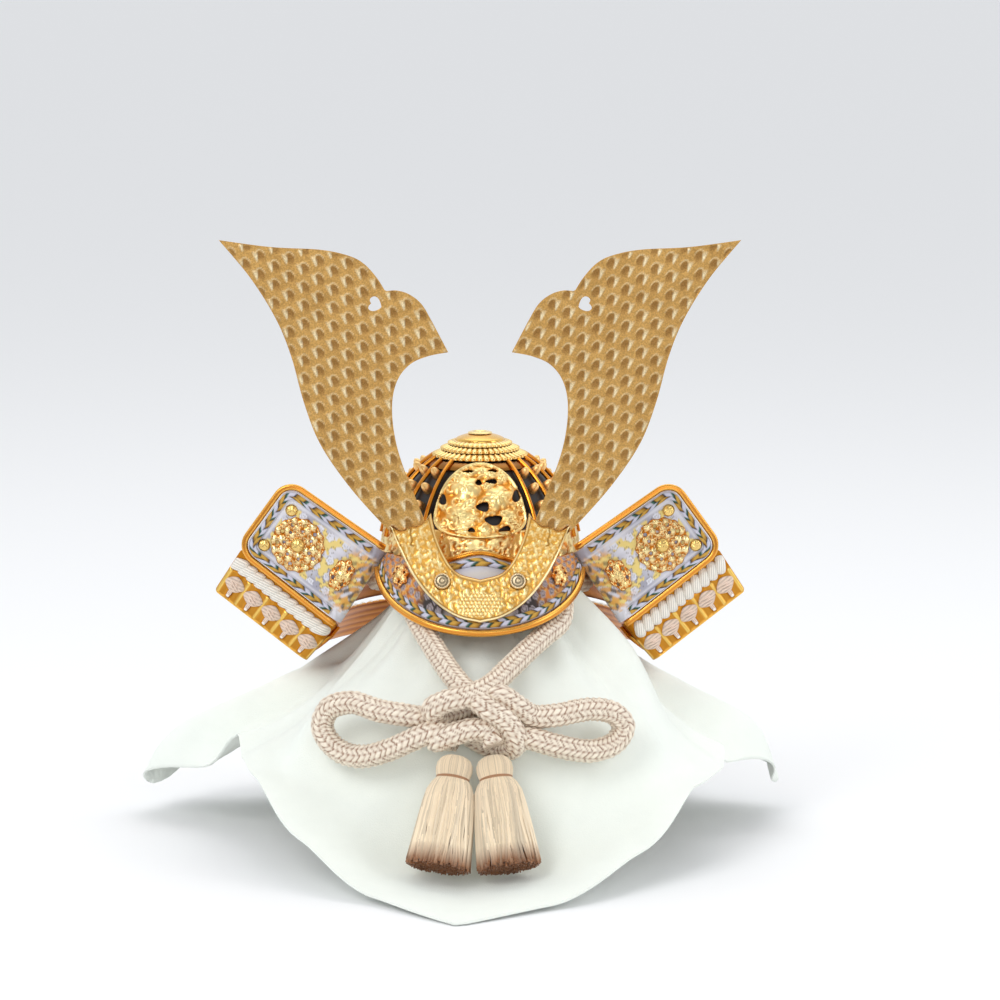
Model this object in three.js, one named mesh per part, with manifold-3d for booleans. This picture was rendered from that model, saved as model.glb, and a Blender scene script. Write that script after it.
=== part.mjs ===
// A small display kabuto: gilt helmet with tall flat horns, turned-back wings, a laced
// neck guard and a bow-tied chin cord, resting on a plain stand under a draped cloth.
// Millimetres. +Z is up, the helmet faces -Y, and the stand's foot is centred on the origin.
import * as THREE from 'three';
import { mergeVertices } from 'three/addons/utils/BufferGeometryUtils.js';
import Module from 'manifold-3d';

const wasm = await Module();
wasm.setup();

// ---------------------------------------------------------------- driving dimensions
const GAP = 0.35;                       // play between pieces that touch

const bowl = { baseZ: 144, halfWidth: 50, halfDepth: 54, height: 57, wall: 1.4 };
const ribs = { first: 36, step: 18, count: 17, radius: 0.95, offset: 1.9, foot: 12, head: 60 };
const boss = { rows: [23, 35, 47], base: 2.8, tip: 1.3, length: 5.5, root: 1.3, sides: 4 };
const band = { inner: GAP, outer: 1.6, top: 18, collarLow: 56, collarHigh: 62 };
const plate = { low: 19.5, widest: 33, high: 60, halfWidth: 31, inner: 2, outer: 3.4 };

const visor = { halfWidth: 52.4, depth: 54, centreY: -26, centreZ: 142, drop: 24.4, reach: 88, wall: 1.4 };
const visorRim = 1.7;
const braid = { width: 3.8, thick: 1.2 };
const brow = { height: 7, spread: 15 };

const hornStand = { thick: 1.2, topZ: 170, lowZ: 123, frontY: -65, lean: 15, scoop: 4.6 };
const horn = { thick: 1.0, frontY: -63.3 };
const stud = { x: 19, z: 142.3, head: 4, shank: 1.2, hole: 2 };

const wing = {
  innerTop: [47.7, -27, 148.7], outerTop: [97.8, -20, 183.1],
  innerLow: [71.2, -30, 112.9], outerLow: [121.1, -22, 151.0],
  length: 61, width: 41, corner: 7, roll: 7, wall: 1.6, rim: 1.6,
};
const lowerLame = {
  innerTop: [72.5, -25, 111], outerTop: [122, -16, 150],
  innerLow: [88.7, -25, 92.7], outerLow: [136.3, -16, 128.2],
  length: 60, width: 25, corner: 2, roll: 6, wall: 1.2, twists: 11, knits: 5, knitStep: 11.6,
};
// Neck guard lames: the ring's half-width, half-depth and height along the top and the lower edge.
const neck = {
  from: 75, to: 285,
  upper: { top: [53.6, 57.6, 147], low: [76, 78, 113.5] },
  lower: { top: [75.5, 77.5, 110], low: [91, 93, 91.5] },
  wall: 1.4,
};

const cord = { diameter: 12.5, sides: 8 };
const tassel = { head: 9, headLength: 11, skirt: 15, length: 57, locks: 9 };
const stand = { foot: 60, footHeight: 9, post: 9, pad: 20, topZ: 197.3 };
const cloth = { thick: 1.4 };

// ---------------------------------------------------------------- shared helpers
const rad = THREE.MathUtils.degToRad;
const v3 = (x, y, z) => new THREE.Vector3(x, y, z);

// A clean closed geometry: corners merged, empty triangles dropped, faces turned outwards.
function closed(geometry) {
  const bare = geometry.clone();
  for (const name of Object.keys(bare.attributes)) if (name !== 'position') bare.deleteAttribute(name);
  const merged = mergeVertices(bare, 1e-4);
  const index = merged.index.array;
  const kept = [];
  for (let i = 0; i < index.length; i += 3) {
    const [a, b, c] = [index[i], index[i + 1], index[i + 2]];
    if (a !== b && b !== c && c !== a) kept.push(a, b, c);
  }
  const p = merged.attributes.position;
  const [A, B, C] = [v3(), v3(), v3()];
  let volume = 0;
  for (let i = 0; i < kept.length; i += 3) {
    A.fromBufferAttribute(p, kept[i]);
    B.fromBufferAttribute(p, kept[i + 1]);
    C.fromBufferAttribute(p, kept[i + 2]);
    volume += A.dot(B.cross(C));
  }
  if (volume < 0) for (let i = 0; i < kept.length; i += 3) [kept[i], kept[i + 1]] = [kept[i + 1], kept[i]];
  merged.setIndex(kept);
  return merged;
}

function toManifold(geometry) {
  const g = closed(geometry);
  return new wasm.Manifold(new wasm.Mesh({
    numProp: 3,
    vertProperties: new Float32Array(g.attributes.position.array),
    triVerts: new Uint32Array(g.index.array),
  }));
}

function fromManifold(manifold) {
  const mesh = manifold.getMesh();
  const geometry = new THREE.BufferGeometry();
  geometry.setAttribute('position', new THREE.BufferAttribute(new Float32Array(mesh.vertProperties), 3));
  geometry.setIndex(Array.from(mesh.triVerts));
  return geometry;
}

const join = (...parts) => fromManifold(parts.map(toManifold).reduce((all, part) => all.add(part)));
const cut = (body, ...tools) => fromManifold(tools.map(toManifold).reduce((left, tool) => left.subtract(tool),
  toManifold(body)));

// Moves every vertex by a function from (x, y, z) to a new point.
function mapped(geometry, place) {
  const g = geometry.clone();
  const p = g.attributes.position;
  for (let i = 0; i < p.count; i += 1) {
    const q = place(p.getX(i), p.getY(i), p.getZ(i));
    p.setXYZ(i, q.x, q.y, q.z);
  }
  return g;
}

// A closed wall between two surfaces, each a function of (u, v) given as lists of stations.
function wall(us, vs, outer, inner, ring = false) {
  const positions = [];
  const index = [];
  const columns = us.length;
  const rows = vs.length;
  for (const surface of [outer, inner]) {
    for (const u of us) for (const v of vs) positions.push(...surface(u, v).toArray());
  }
  const at = (side, i, j) => side * columns * rows + (i % columns) * rows + j;
  const quad = (a, b, c, d) => index.push(a, b, c, a, c, d);
  const spans = ring ? columns : columns - 1;
  for (let i = 0; i < spans; i += 1) {
    for (let j = 0; j < rows - 1; j += 1) {
      quad(at(0, i, j), at(0, i + 1, j), at(0, i + 1, j + 1), at(0, i, j + 1));
      quad(at(1, i, j), at(1, i, j + 1), at(1, i + 1, j + 1), at(1, i + 1, j));
    }
    quad(at(0, i, 0), at(1, i, 0), at(1, i + 1, 0), at(0, i + 1, 0));
    quad(at(0, i, rows - 1), at(0, i + 1, rows - 1), at(1, i + 1, rows - 1), at(1, i, rows - 1));
  }
  if (!ring) {
    for (let j = 0; j < rows - 1; j += 1) {
      quad(at(0, 0, j), at(0, 0, j + 1), at(1, 0, j + 1), at(1, 0, j));
      quad(at(0, columns - 1, j), at(1, columns - 1, j), at(1, columns - 1, j + 1), at(0, columns - 1, j + 1));
    }
  }
  const geometry = new THREE.BufferGeometry();
  geometry.setAttribute('position', new THREE.Float32BufferAttribute(positions, 3));
  geometry.setIndex(index);
  return closed(geometry);
}

// A closed skin of revolution-like sections: each section is a ring, the first and the last are points.
function turned(rounds, sections, surface) {
  const positions = [];
  const index = [];
  const n = rounds.length;
  for (const s of sections) for (const u of rounds) positions.push(...surface(u, s).toArray());
  for (let j = 0; j < sections.length - 1; j += 1) {
    for (let i = 0; i < n; i += 1) {
      const [a, b] = [j * n + i, j * n + ((i + 1) % n)];
      index.push(a, b, b + n, a, b + n, a + n);
    }
  }
  const geometry = new THREE.BufferGeometry();
  geometry.setAttribute('position', new THREE.Float32BufferAttribute(positions, 3));
  geometry.setIndex(index);
  return closed(geometry);
}

const steps = (from, to, count) => Array.from({ length: count + 1 }, (_, i) => from + ((to - from) * i) / count);
const turns = (count) => steps(0, 360, count).slice(0, count);

// The unit normal of a surface at (u, v), from small differences either way.
function normalOf(surface, u, v, du, dv) {
  const along = surface(u + du, v).sub(surface(u - du, v));
  const across = surface(u, v + dv).sub(surface(u, v - dv));
  return along.cross(across).normalize();
}

// A tube of round section along a curve.
function tube(curve, radius, sides, count) {
  const section = new THREE.Shape(turns(sides).map((a) => new THREE.Vector2(
    radius * Math.cos(rad(a)), radius * Math.sin(rad(a)))));
  return closed(new THREE.ExtrudeGeometry(section, { steps: count, extrudePath: curve, bevelEnabled: false }));
}

const through = (points) => new THREE.CatmullRomCurve3(points.map((p) => v3(...p)), false, 'centripetal');

function lathe(profile, segments) {
  return closed(new THREE.LatheGeometry(profile.map(([r, z]) => new THREE.Vector2(r, z)), segments))
    .rotateX(Math.PI / 2);
}

// ---------------------------------------------------------------- bowl
// A point on the bowl: angle round from the front (+ towards +X), angle up from the base,
// and how far it stands off the surface. All angles are in degrees.
function onBowl(round, up, off = 0) {
  const c = Math.cos(rad(up));
  return v3(
    (bowl.halfWidth + off) * c * Math.sin(rad(round)),
    -(bowl.halfDepth + off) * c * Math.cos(rad(round)),
    bowl.baseZ + (bowl.height + off) * Math.sin(rad(up)),
  );
}

// Turns a piece made along +Z to stand out from the bowl at a place.
function standing(geometry, round, up, off) {
  const out = onBowl(round, up, 1).sub(onBowl(round, up, 0)).normalize();
  const turn = new THREE.Quaternion().setFromUnitVectors(v3(0, 0, 1), out);
  const place = new THREE.Matrix4().compose(onBowl(round, up, off), turn, v3(1, 1, 1));
  return geometry.clone().applyMatrix4(place);
}

function makeBowl() {
  const shell = wall(turns(20), steps(0, 90, 5),
    (u, v) => onBowl(u, v, 0), (u, v) => onBowl(u, v, -bowl.wall), true);
  const cone = new THREE.CylinderGeometry(boss.tip, boss.base, boss.length + boss.root, boss.sides);
  cone.rotateX(Math.PI / 2).translate(0, 0, (boss.length - boss.root) / 2);
  const bosses = [];
  for (let column = 0; column < ribs.count - 1; column += 1) {
    const round = ribs.first + ribs.step * (column + 0.5);
    for (const up of boss.rows) bosses.push(standing(cone, round, up, 0));
  }
  return join(shell, ...bosses);
}

function makeRibCage() {
  const ring = (low, high) => wall(turns(20), [low, high],
    (u, v) => onBowl(u, v, band.outer), (u, v) => onBowl(u, v, band.inner), true);
  const bars = [];
  for (let i = 0; i < ribs.count; i += 1) {
    const round = ribs.first + ribs.step * i;
    const path = through(steps(ribs.foot, ribs.head, 5).map((up) => onBowl(round, up, ribs.offset).toArray()));
    bars.push(tube(path, ribs.radius, 4, 5));
  }
  return join(ring(1, band.top), ring(band.collarLow, band.collarHigh), ...bars);
}

// Egg-shaped pierced plate over the bowl's front, with raised flowers.
function makeFrontPlate() {
  const half = (up) => {
    const above = up > plate.widest;
    const t = (up - plate.widest) / (above ? plate.high - plate.widest : plate.widest - plate.low);
    return plate.halfWidth * Math.sqrt(Math.max(0, 1 - Math.abs(t) ** (above ? 2.3 : 5)));
  };
  const ups = steps(0, 180, 8).map((a) => plate.low + ((plate.high - plate.low) * (1 - Math.cos(rad(a)))) / 2);
  const sheet = wall(steps(-1, 1, 4), ups,
    (u, v) => onBowl(u * half(v), v, plate.outer), (u, v) => onBowl(u * half(v), v, plate.inner));
  const flowers = [   // round, up, radius
    [-12, 42, 6], [12, 36, 6], [-12, 27, 5.5], [20, 28, 4.5],
  ].map(([round, up, r]) => standing(new THREE.SphereGeometry(r, 6, 3).scale(1, 1, 0.42), round, up, plate.outer));
  const holes = [     // round, up, radius
    [8, 47, 2.2], [-9, 53, 2.2], [1, 33, 2.2], [7, 25, 2.4], [-24, 34, 2.4], [24, 40, 2.2], [-2, 45, 1.8],
  ].map(([round, up, r]) => {
    const drill = new THREE.CylinderGeometry(r, r, 12, 4).rotateX(Math.PI / 2);
    return standing(drill, round, up, plate.outer);
  });
  return cut(join(sheet, ...flowers), ...holes);
}

// ---------------------------------------------------------------- crown finial
// Ring of petals: its radius swells once for each petal. Profile points are [radius, height].
function petalRing(outerR, outerZ, innerR, innerZ, thick, petals, swell) {
  const at = (round, v, up) => {
    const scallop = 1 + swell * (Math.abs(Math.cos(rad((round * petals) / 2))) - 1) * (1 - v);
    const r = (outerR + (innerR - outerR) * v) * scallop;
    return v3(r * Math.sin(rad(round)), -r * Math.cos(rad(round)), outerZ + (innerZ - outerZ) * v + up);
  };
  return wall(turns(petals * 2), [0, 1], (u, v) => at(u, v, thick), (u, v) => at(u, v, 0), true);
}

const makeCrownDome = () => lathe([[0, 201.4], [4, 201.4], [4, 204], [12.4, 204], [12.4, 204.9], [9.4, 206.3],
  [6.4, 206.9], [0, 206.9]], 16);
const makeCrownCap = () => lathe([[0, 207.25], [6, 207.25], [6, 207.8], [4.6, 208.5], [3.4, 208.5], [2.6, 208],
  [0, 208]], 12);

// ---------------------------------------------------------------- visor
const visorRimAt = (t) => v3(visor.halfWidth * Math.sin(rad(t)), visor.centreY - visor.depth * Math.cos(rad(t)),
  visor.centreZ - visor.drop * Math.cos(rad(t)));

function visorRootAt(t) {
  const p = onBowl(0.75 * t, 0, band.outer + 0.6);
  return v3(p.x, p.y, 149 + brow.height * Math.exp(-((p.x / brow.spread) ** 2)));
}

// A point on the visor's top side: angle from the front, share of the way from bowl to rim, and height above.
function onVisor(t, v, off = 0) {
  const root = visorRootAt(t);
  const rim = visorRimAt(t);
  const p = root.clone().lerp(rim, v);
  p.z += 1.5 * Math.sin(Math.PI * v) * Math.cos(rad(t * 0.8));
  const out = v3(Math.sin(rad(t)) * 0.6, -Math.cos(rad(t)) * 0.6, 0.8);
  return p.addScaledVector(out, off);
}

const fromRim = (t, gap) => 1 - gap / visorRootAt(t).distanceTo(visorRimAt(t));

function makeVisor() {
  return wall(steps(-visor.reach, visor.reach, 18), [0, 0.4, 1],
    (t, v) => onVisor(t, v * fromRim(t, visorRim + 0.7), 0),
    (t, v) => onVisor(t, v * fromRim(t, visorRim + 0.7), -visor.wall));
}

const makeVisorRim = () => tube(through(steps(-visor.reach, visor.reach, 24).map((t) => visorRimAt(t).toArray())),
  visorRim, 6, 20);

function visorTrim(reach, near, far, count) {
  return wall(steps(-reach, reach, count), [0, 1],
    (t, v) => onVisor(t, near(t) + (far(t) - near(t)) * v, GAP + braid.thick),
    (t, v) => onVisor(t, near(t) + (far(t) - near(t)) * v, GAP));
}

const makeVisorBraid = () => visorTrim(84, (t) => fromRim(t, visorRim + 0.8 + braid.width),
  (t) => fromRim(t, visorRim + 0.8), 18);
const makeBrowStrip = () => visorTrim(36, () => 0.03, () => 0.1, 8);
const makeBrowBraid = () => visorTrim(36, () => 0.13, () => 0.22, 8);

// Openwork ornament near each end of the visor: a mound of lobes with a ring of holes.
function makeVisorOrnament(side) {
  const centre = onVisor(58 * side, 0.46, GAP);
  const out = normalOf(onVisor, 58 * side, 0.46, 1, 0.02).negate();
  const turn = new THREE.Quaternion().setFromUnitVectors(v3(0, 0, 1), out.z < 0 ? out.negate() : out);
  const mound = new THREE.CylinderGeometry(3, 6.2, 2.4, 9).rotateX(Math.PI / 2).translate(0, 0, 2.3);
  const holes = [20, 140, 260].map((a) => new THREE.CylinderGeometry(0.9, 0.9, 9, 5).rotateX(Math.PI / 2)
    .translate(3.4 * Math.cos(rad(a)), 3.4 * Math.sin(rad(a)), 1));
  return cut(mound, ...holes).applyMatrix4(new THREE.Matrix4().compose(centre, turn, v3(1, 1, 1)));
}

// ---------------------------------------------------------------- horn stand, horns and studs
// Front face of the stand's plate: upright at the top, sweeping forward where it meets the visor.
const hornStandY = (z) => hornStand.frontY
  - hornStand.lean * (Math.max(0, hornStand.topZ - z) / (hornStand.topZ - hornStand.lowZ)) ** 2;

const standEdge = (points) => new THREE.CatmullRomCurve3(points.map(([x, z]) => v3(x, 0, z)), false, 'centripetal');
const innerEdge = standEdge([[0, 143], [10.6, 146], [15.4, 150.6], [21.6, 163.2], [24.6, 176]]);
const outerEdge = standEdge([[0, hornStand.lowZ], [11, 125.5], [22, 132], [32.5, 143.5], [40, 157], [45, 169.7]]);

// A point of the U-shaped plate: u runs from the -X arm's tip to the +X arm's, v from the inner edge to the
// outer, and d into the plate. The arms' tops are scooped between their two corners.
function onHornStand(u, v, d) {
  const along = Math.abs(u);
  const p = innerEdge.getPoint(along).lerp(outerEdge.getPoint(along), v);
  p.z -= hornStand.scoop * Math.sin(Math.PI * v) * Math.max(0, (along - 0.8) / 0.2);
  return v3(Math.sign(u) * p.x, hornStandY(p.z) + d, p.z);
}

// A flat outline in (x, z) becomes a plate whose front face follows y = face(z).
function upright(outline, thick, face, curveSegments) {
  const flat = new THREE.ExtrudeGeometry(outline, { depth: thick, bevelEnabled: false, curveSegments });
  return closed(mapped(flat, (x, z, d) => v3(x, face(z) + d, z)));
}

function makeHornStand() {
  const box = (x0, x1, y0, y1, z0, z1) => new THREE.BoxGeometry(x1 - x0, y1 - y0, z1 - z0)
    .translate((x0 + x1) / 2, (y0 + y1) / 2, (z0 + z1) / 2);
  const body = wall(steps(-1, 1, 20), [0, 0.33, 0.67, 1],
    (u, v) => onHornStand(u, v, 0), (u, v) => onHornStand(u, v, hornStand.thick));
  const drills = [-1, 1].map((side) => new THREE.CylinderGeometry(stud.hole, stud.hole, 12, 8)
    .translate(side * stud.x, hornStandY(stud.z), stud.z));
  const back = horn.frontY + horn.thick + GAP;
  const straps = [];
  for (const side of [-1, 1]) {   // a strap behind each arm, which the horn's tang slips into
    const bars = [
      [21.2, 22.4, -66.4, back + 1.1, 151, 157],
      [33.6, 34.8, -66.4, back + 1.1, 151, 157],
      [21.2, 34.8, back, back + 1.1, 151, 157],
    ];
    for (const [x0, x1, y0, y1, z0, z1] of bars) {
      straps.push(box(Math.min(side * x0, side * x1), Math.max(side * x0, side * x1), y0, y1, z0, z1));
    }
  }
  return cut(join(body, ...straps), ...drills);
}

// The horn on the -X side; the other one is its mirror image.
function makeHorn(side) {
  const p = (x, z) => new THREE.Vector2(-x, z);
  const outline = new THREE.Shape();
  outline.moveTo(-47.1, 287.5);
  outline.splineThru([p(51.5, 294.5), p(58, 301.5), p(66, 305.5), p(80, 308.3), p(104, 309.6), p(129.6, 313)]);
  outline.splineThru([p(114, 294), p(101.5, 273.5), p(94, 254.6), p(88, 232), p(80, 211), p(66, 190),
    p(48.6, 170), p(39.5, 162)]);
  outline.lineTo(-33, 156.5);
  outline.lineTo(-33, 151.5);
  outline.lineTo(-23, 151.5);
  outline.lineTo(-23.3, 160);
  outline.splineThru([p(29.5, 176.6), p(38.9, 200.6), p(43, 217), p(43.8, 232), p(41, 243.3), p(34.8, 251),
    p(26, 255), p(15.9, 257)]);
  outline.splineThru([p(24, 272.5), p(29.2, 281.2), p(35.3, 286), p(41.5, 287.9), p(47.1, 287.5)]);
  const heart = new THREE.Path();   // heart-shaped opening, its point towards the notch
  heart.moveTo(-49, 279.5);
  heart.quadraticCurveTo(-50, 285.5, -53, 285);
  heart.quadraticCurveTo(-56, 284, -54.2, 281.5);
  heart.quadraticCurveTo(-57, 279, -54.5, 277.8);
  heart.quadraticCurveTo(-52, 277, -49, 279.5);
  outline.holes.push(heart);
  const left = upright(outline, horn.thick, () => horn.frontY, 2);
  return side < 0 ? left : closed(left.scale(-1, 1, 1));
}

function makeStud(side) {
  const slope = (hornStandY(stud.z + 1) - hornStandY(stud.z - 1)) / 2;
  const profile = [[0, -6.4], [stud.shank, -6.4], [stud.shank, 0.9], [stud.head, 0.9],
    [stud.head, 1.7], [2.4, 2.8], [0, 3.1]];
  return lathe(profile, 10).rotateX(Math.PI / 2 - Math.atan(slope))
    .translate(side * stud.x, hornStandY(stud.z), stud.z);
}

// ---------------------------------------------------------------- wings and their lower lames
// A point of a turned-back panel: millimetres along from its fold, share of the way up from its lower
// edge, and how far it stands off to the front. Near the fold the panel rolls back.
function onPanel(shape, side, along, up, off) {
  const a = along / shape.length;
  const low = v3(...shape.innerLow).lerp(v3(...shape.outerLow), a);
  const top = v3(...shape.innerTop).lerp(v3(...shape.outerTop), a);
  const p = low.lerp(top, up);
  const s = Math.max(0, shape.roll - along);
  p.y += shape.roll - Math.sqrt(Math.max(0, shape.roll ** 2 - s ** 2)) - off;
  p.x *= side;
  return p;
}

// How much of the panel's height its rounded outer corners take away, as a share, at a place along it.
function cornerCut(shape, along, grow = 0) {
  const r = shape.corner + grow;
  const d = Math.min(Math.max(shape.length + grow - along, 0), r);
  return (r - Math.sqrt(r * r - (r - d) ** 2)) / shape.width;
}

function panelStations(shape) {
  const r = shape.corner;
  const roll = steps(0, 90, 4).map((a) => shape.roll * (1 - Math.sin(rad(90 - a))));
  const corner = steps(0, 90, 4).map((a) => shape.length - r + r * Math.sin(rad(a)));
  return [...roll, shape.length * 0.5, ...corner];
}

function makePanel(shape, side, inset = 0) {
  const up = (a, v) => {
    const e = cornerCut(shape, a) + inset;
    return e + (1 - 2 * e) * v;
  };
  return wall(panelStations(shape), [0, 0.5, 1],
    (a, v) => onPanel(shape, side, a, up(a, v), shape.wall / 2),
    (a, v) => onPanel(shape, side, a, up(a, v), -shape.wall / 2));
}

// The panel's outline from the fold along the lower edge, round the outer end and back along the top,
// a given distance inside (or, if negative, outside) the edge.
function panelEdge(shape, inset, start) {
  const r = shape.corner - inset;
  const L = shape.length - inset;
  const low = inset;
  const high = shape.width - inset;
  const points = [[start, low], [L * 0.35, low], [L * 0.65, low]];
  for (const a of steps(-90, 0, 3)) points.push([L - r + r * Math.cos(rad(a)), low + r + r * Math.sin(rad(a))]);
  for (const a of steps(0, 90, 3)) points.push([L - r + r * Math.cos(rad(a)), high - r + r * Math.sin(rad(a))]);
  points.push([L * 0.65, high], [L * 0.35, high], [start, high]);
  return points;
}

function makeWingRim(side) {
  const points = panelEdge(wing, -wing.rim - GAP, 3)
    .map(([a, b]) => onPanel(wing, side, a, b / wing.width, 0).toArray());
  return tube(through(points), wing.rim, 5, 24);
}

function makeWingBraid(side) {
  const near = panelEdge(wing, 0.6, 8);
  const far = panelEdge(wing, 0.6 + braid.width - 0.4, 8);
  const at = (i, v, off) => {
    const [a0, b0] = near[i];
    const [a1, b1] = far[i];
    return onPanel(wing, side, a0 + (a1 - a0) * v, (b0 + (b1 - b0) * v) / wing.width, off);
  };
  const base = wing.wall / 2 + GAP;
  return wall(near.map((_, i) => i), [0, 1], (i, v) => at(i, v, base + braid.thick), (i, v) => at(i, v, base));
}

// Lays a piece made flat in millimetres (along, up, off) on the wing about a place.
const onWing = (geometry, side, along, up) => closed(mapped(geometry, (x, y, z) => onPanel(wing, side,
  along + x, (up + y) / wing.width, wing.wall / 2 + z)));

const rosettePlace = [40, 19];
function makeRosette(side) {
  const outline = new THREE.Shape(turns(20).map((a, i) => new THREE.Vector2(
    (i % 2 ? 13.2 : 14) * Math.cos(rad(a)), (i % 2 ? 13.2 : 14) * Math.sin(rad(a)))));
  for (const a of turns(7)) {
    outline.holes.push(new THREE.Path(turns(4).map((b) => new THREE.Vector2(
      9 * Math.cos(rad(a)) + 1.7 * Math.cos(rad(-b)), 9 * Math.sin(rad(a)) + 1.7 * Math.sin(rad(-b))))));
  }
  const disc = new THREE.ExtrudeGeometry(outline, { depth: 1.6, bevelEnabled: false }).translate(0, 0, GAP);
  return onWing(disc, side, ...rosettePlace);
}

const makeRosetteBoss = (side) => onWing(new THREE.CylinderGeometry(2.6, 5, 2, 8).rotateX(Math.PI / 2)
  .translate(0, 0, 1.6 + 2 * GAP + 1), side, ...rosettePlace);
const makeWingStud = (side, along, up) => onWing(new THREE.CylinderGeometry(1.8, 3.1, 1.8, 6).rotateX(Math.PI / 2)
  .translate(0, 0, GAP + 0.9), side, along, up);
const makeWingOrnament = (side) => onWing(new THREE.CylinderGeometry(3.2, 5.4, 2.2, 7).rotateX(Math.PI / 2)
  .scale(1, 1.5, 1).translate(0, 0, GAP + 1.1), side, 13.5, 20);

const knitAlong = (index) => 6.6 + index * lowerLame.knitStep;

function makeLowerLame(side) {
  const body = makePanel(lowerLame, side);
  const bars = [];
  for (let i = 0; i < lowerLame.knits; i += 1) {
    const bar = new THREE.BoxGeometry(1.6, 13, 1.4)
      .translate(knitAlong(i) + lowerLame.knitStep / 2, 7.2, lowerLame.wall / 2 + 0.4);
    bars.push(closed(mapped(bar, (a, b, o) => onPanel(lowerLame, side, a, b / lowerLame.width, o))));
  }
  return join(body, ...bars);
}

// Twisted lacing along the lame's upper edge: a roll that swells once for each twist.
function makeLacing(side) {
  const base = lowerLame.wall / 2 + GAP;
  const from = 3.5;
  const to = lowerLame.length - 1;
  const pitch = (to - from) / lowerLame.twists;
  return turned(turns(6), steps(0, lowerLame.twists * 2, lowerLame.twists * 2), (round, n) => {
    const ends = n === 0 || n === lowerLame.twists * 2;
    const swell = ends ? 0 : 0.72 + 0.28 * (n % 2);
    const slant = 1.6 * Math.sin(rad(round));
    return onPanel(lowerLame, side, from + (n * pitch) / 2 + (ends ? 0 : slant),
      (18 + 4.3 * swell * Math.sin(rad(round))) / lowerLame.width, base + 1.9 + 1.8 * swell * Math.cos(rad(round)));
  });
}

// One cross-knit below the lacing, between two bars: a low pad with a raised middle.
function makeLowerKnit(side, index) {
  const base = lowerLame.wall / 2 + GAP;
  const middle = knitAlong(index);
  return wall([-3.9, -2, 2, 3.9], [0, 0.5, 1],
    (a, v) => onPanel(lowerLame, side, middle + a, (3.4 + 6.8 * v) / lowerLame.width,
      base + (Math.abs(a) < 3 && v === 0.5 ? 2.2 : 0.7)),
    (a, v) => onPanel(lowerLame, side, middle + a, (3.4 + 6.8 * v) / lowerLame.width, base));
}

// ---------------------------------------------------------------- neck guard
function onLame(lame, round, v, off = 0) {
  const [w, d, z] = [0, 1, 2].map((k) => lame.top[k] + (lame.low[k] - lame.top[k]) * v);
  return v3((w + off) * Math.sin(rad(round)), -(d + off) * Math.cos(rad(round)), z + off * 0.5);
}

const makeNeckLame = (lame) => wall(steps(neck.from, neck.to, 20), [0, 1],
  (u, v) => onLame(lame, u, v, 0), (u, v) => onLame(lame, u, v, -neck.wall));

const makeNeckLacing = () => tube(through(steps(neck.from + 1, neck.to - 1, 24).map((u) => onLame(neck.lower,
  u, 0.2, GAP + 3.1).toArray())), 2.7, 5, 26);

function makeNeckKnits() {
  const count = 20;
  const us = steps(neck.from + 4, neck.to - 4, count * 2);
  const rise = (u) => (Math.round((u - us[0]) / (us[1] - us[0])) % 2 ? 2 : 0.8);
  return wall(us, [0.56, 0.86],
    (u, v) => onLame(neck.lower, u, v, GAP + rise(u)), (u, v) => onLame(neck.lower, u, v, GAP));
}

// ---------------------------------------------------------------- chin cord and tassels
// Each half of the cord starts behind the neck, runs round inside the neck guard, comes down in front
// in a V, ties the bow with one loop on the far side and ends in its tassel. Ring centres by hand.
const leftCord = [
  [-1.5, 59.5, 124], [-21, 56, 124], [-40, 43, 124.5], [-52, 24, 127], [-53, 3, 131], [-48.5, -15, 135],
  [-43, -30, 136], [-37, -44, 131], [-31.5, -57, 120.5], [-24.5, -73, 111.5], [-17, -90, 103],
  [-9.5, -104, 96], [-3, -112, 91.5], [4, -116, 86.5], [13, -116.5, 80.5], [17.5, -115, 72.5],
  [17, -111, 67], [11, -107, 64.5], [3, -105.5, 66.5], [-6, -103.5, 71.5], [-18, -103.5, 77.5],
  [-34, -106, 81], [-50, -102.5, 83], [-64, -97, 86], [-75.5, -93, 81.5], [-78.5, -93, 72.5],
  [-72, -97.5, 63], [-60, -103.5, 60], [-46, -108.5, 64], [-34, -112, 70], [-22, -112, 74.5],
  [-10, -109, 73.5], [1, -110.5, 73], [5.6, -114.5, 72], [7.2, -116.6, 68.6],
];
const rightCord = [
  [1.5, 59.5, 124], [21, 56, 124], [40, 43, 124.5], [52, 23, 126.5], [52.5, 4, 129.5], [48, -13, 132],
  [44, -29, 133], [42, -43, 127.5], [40.5, -53, 119], [32, -65, 113.5], [22.5, -79, 107.5],
  [13.5, -93, 101.5], [5, -105, 96], [-5, -112.5, 92.5], [-16, -115.5, 90.5], [-23.5, -112.5, 86],
  [-20, -106, 81], [-9, -102.5, 83], [2, -105, 88], [9.5, -110, 92], [17.5, -110.5, 87.5],
  [26, -108, 81.5], [38, -106, 81.5], [55, -99, 83], [67, -93.5, 79.5], [71.5, -92, 72.5],
  [67.5, -95, 65.5], [56, -101.5, 62.5], [40, -108.5, 66], [26, -111, 70.5], [15, -109, 72.5],
  [4, -113.5, 75.5], [-6, -116.5, 76], [-15, -116.2, 73], [-21.5, -112.5, 70], [-18.5, -106.5, 69.5],
  [-12.2, -109.5, 69.7],
];

const makeChinCord = () => join(...[leftCord, rightCord].map((points) => tube(through(points),
  cord.diameter / 2 - 0.2, cord.sides, 40)));

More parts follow.
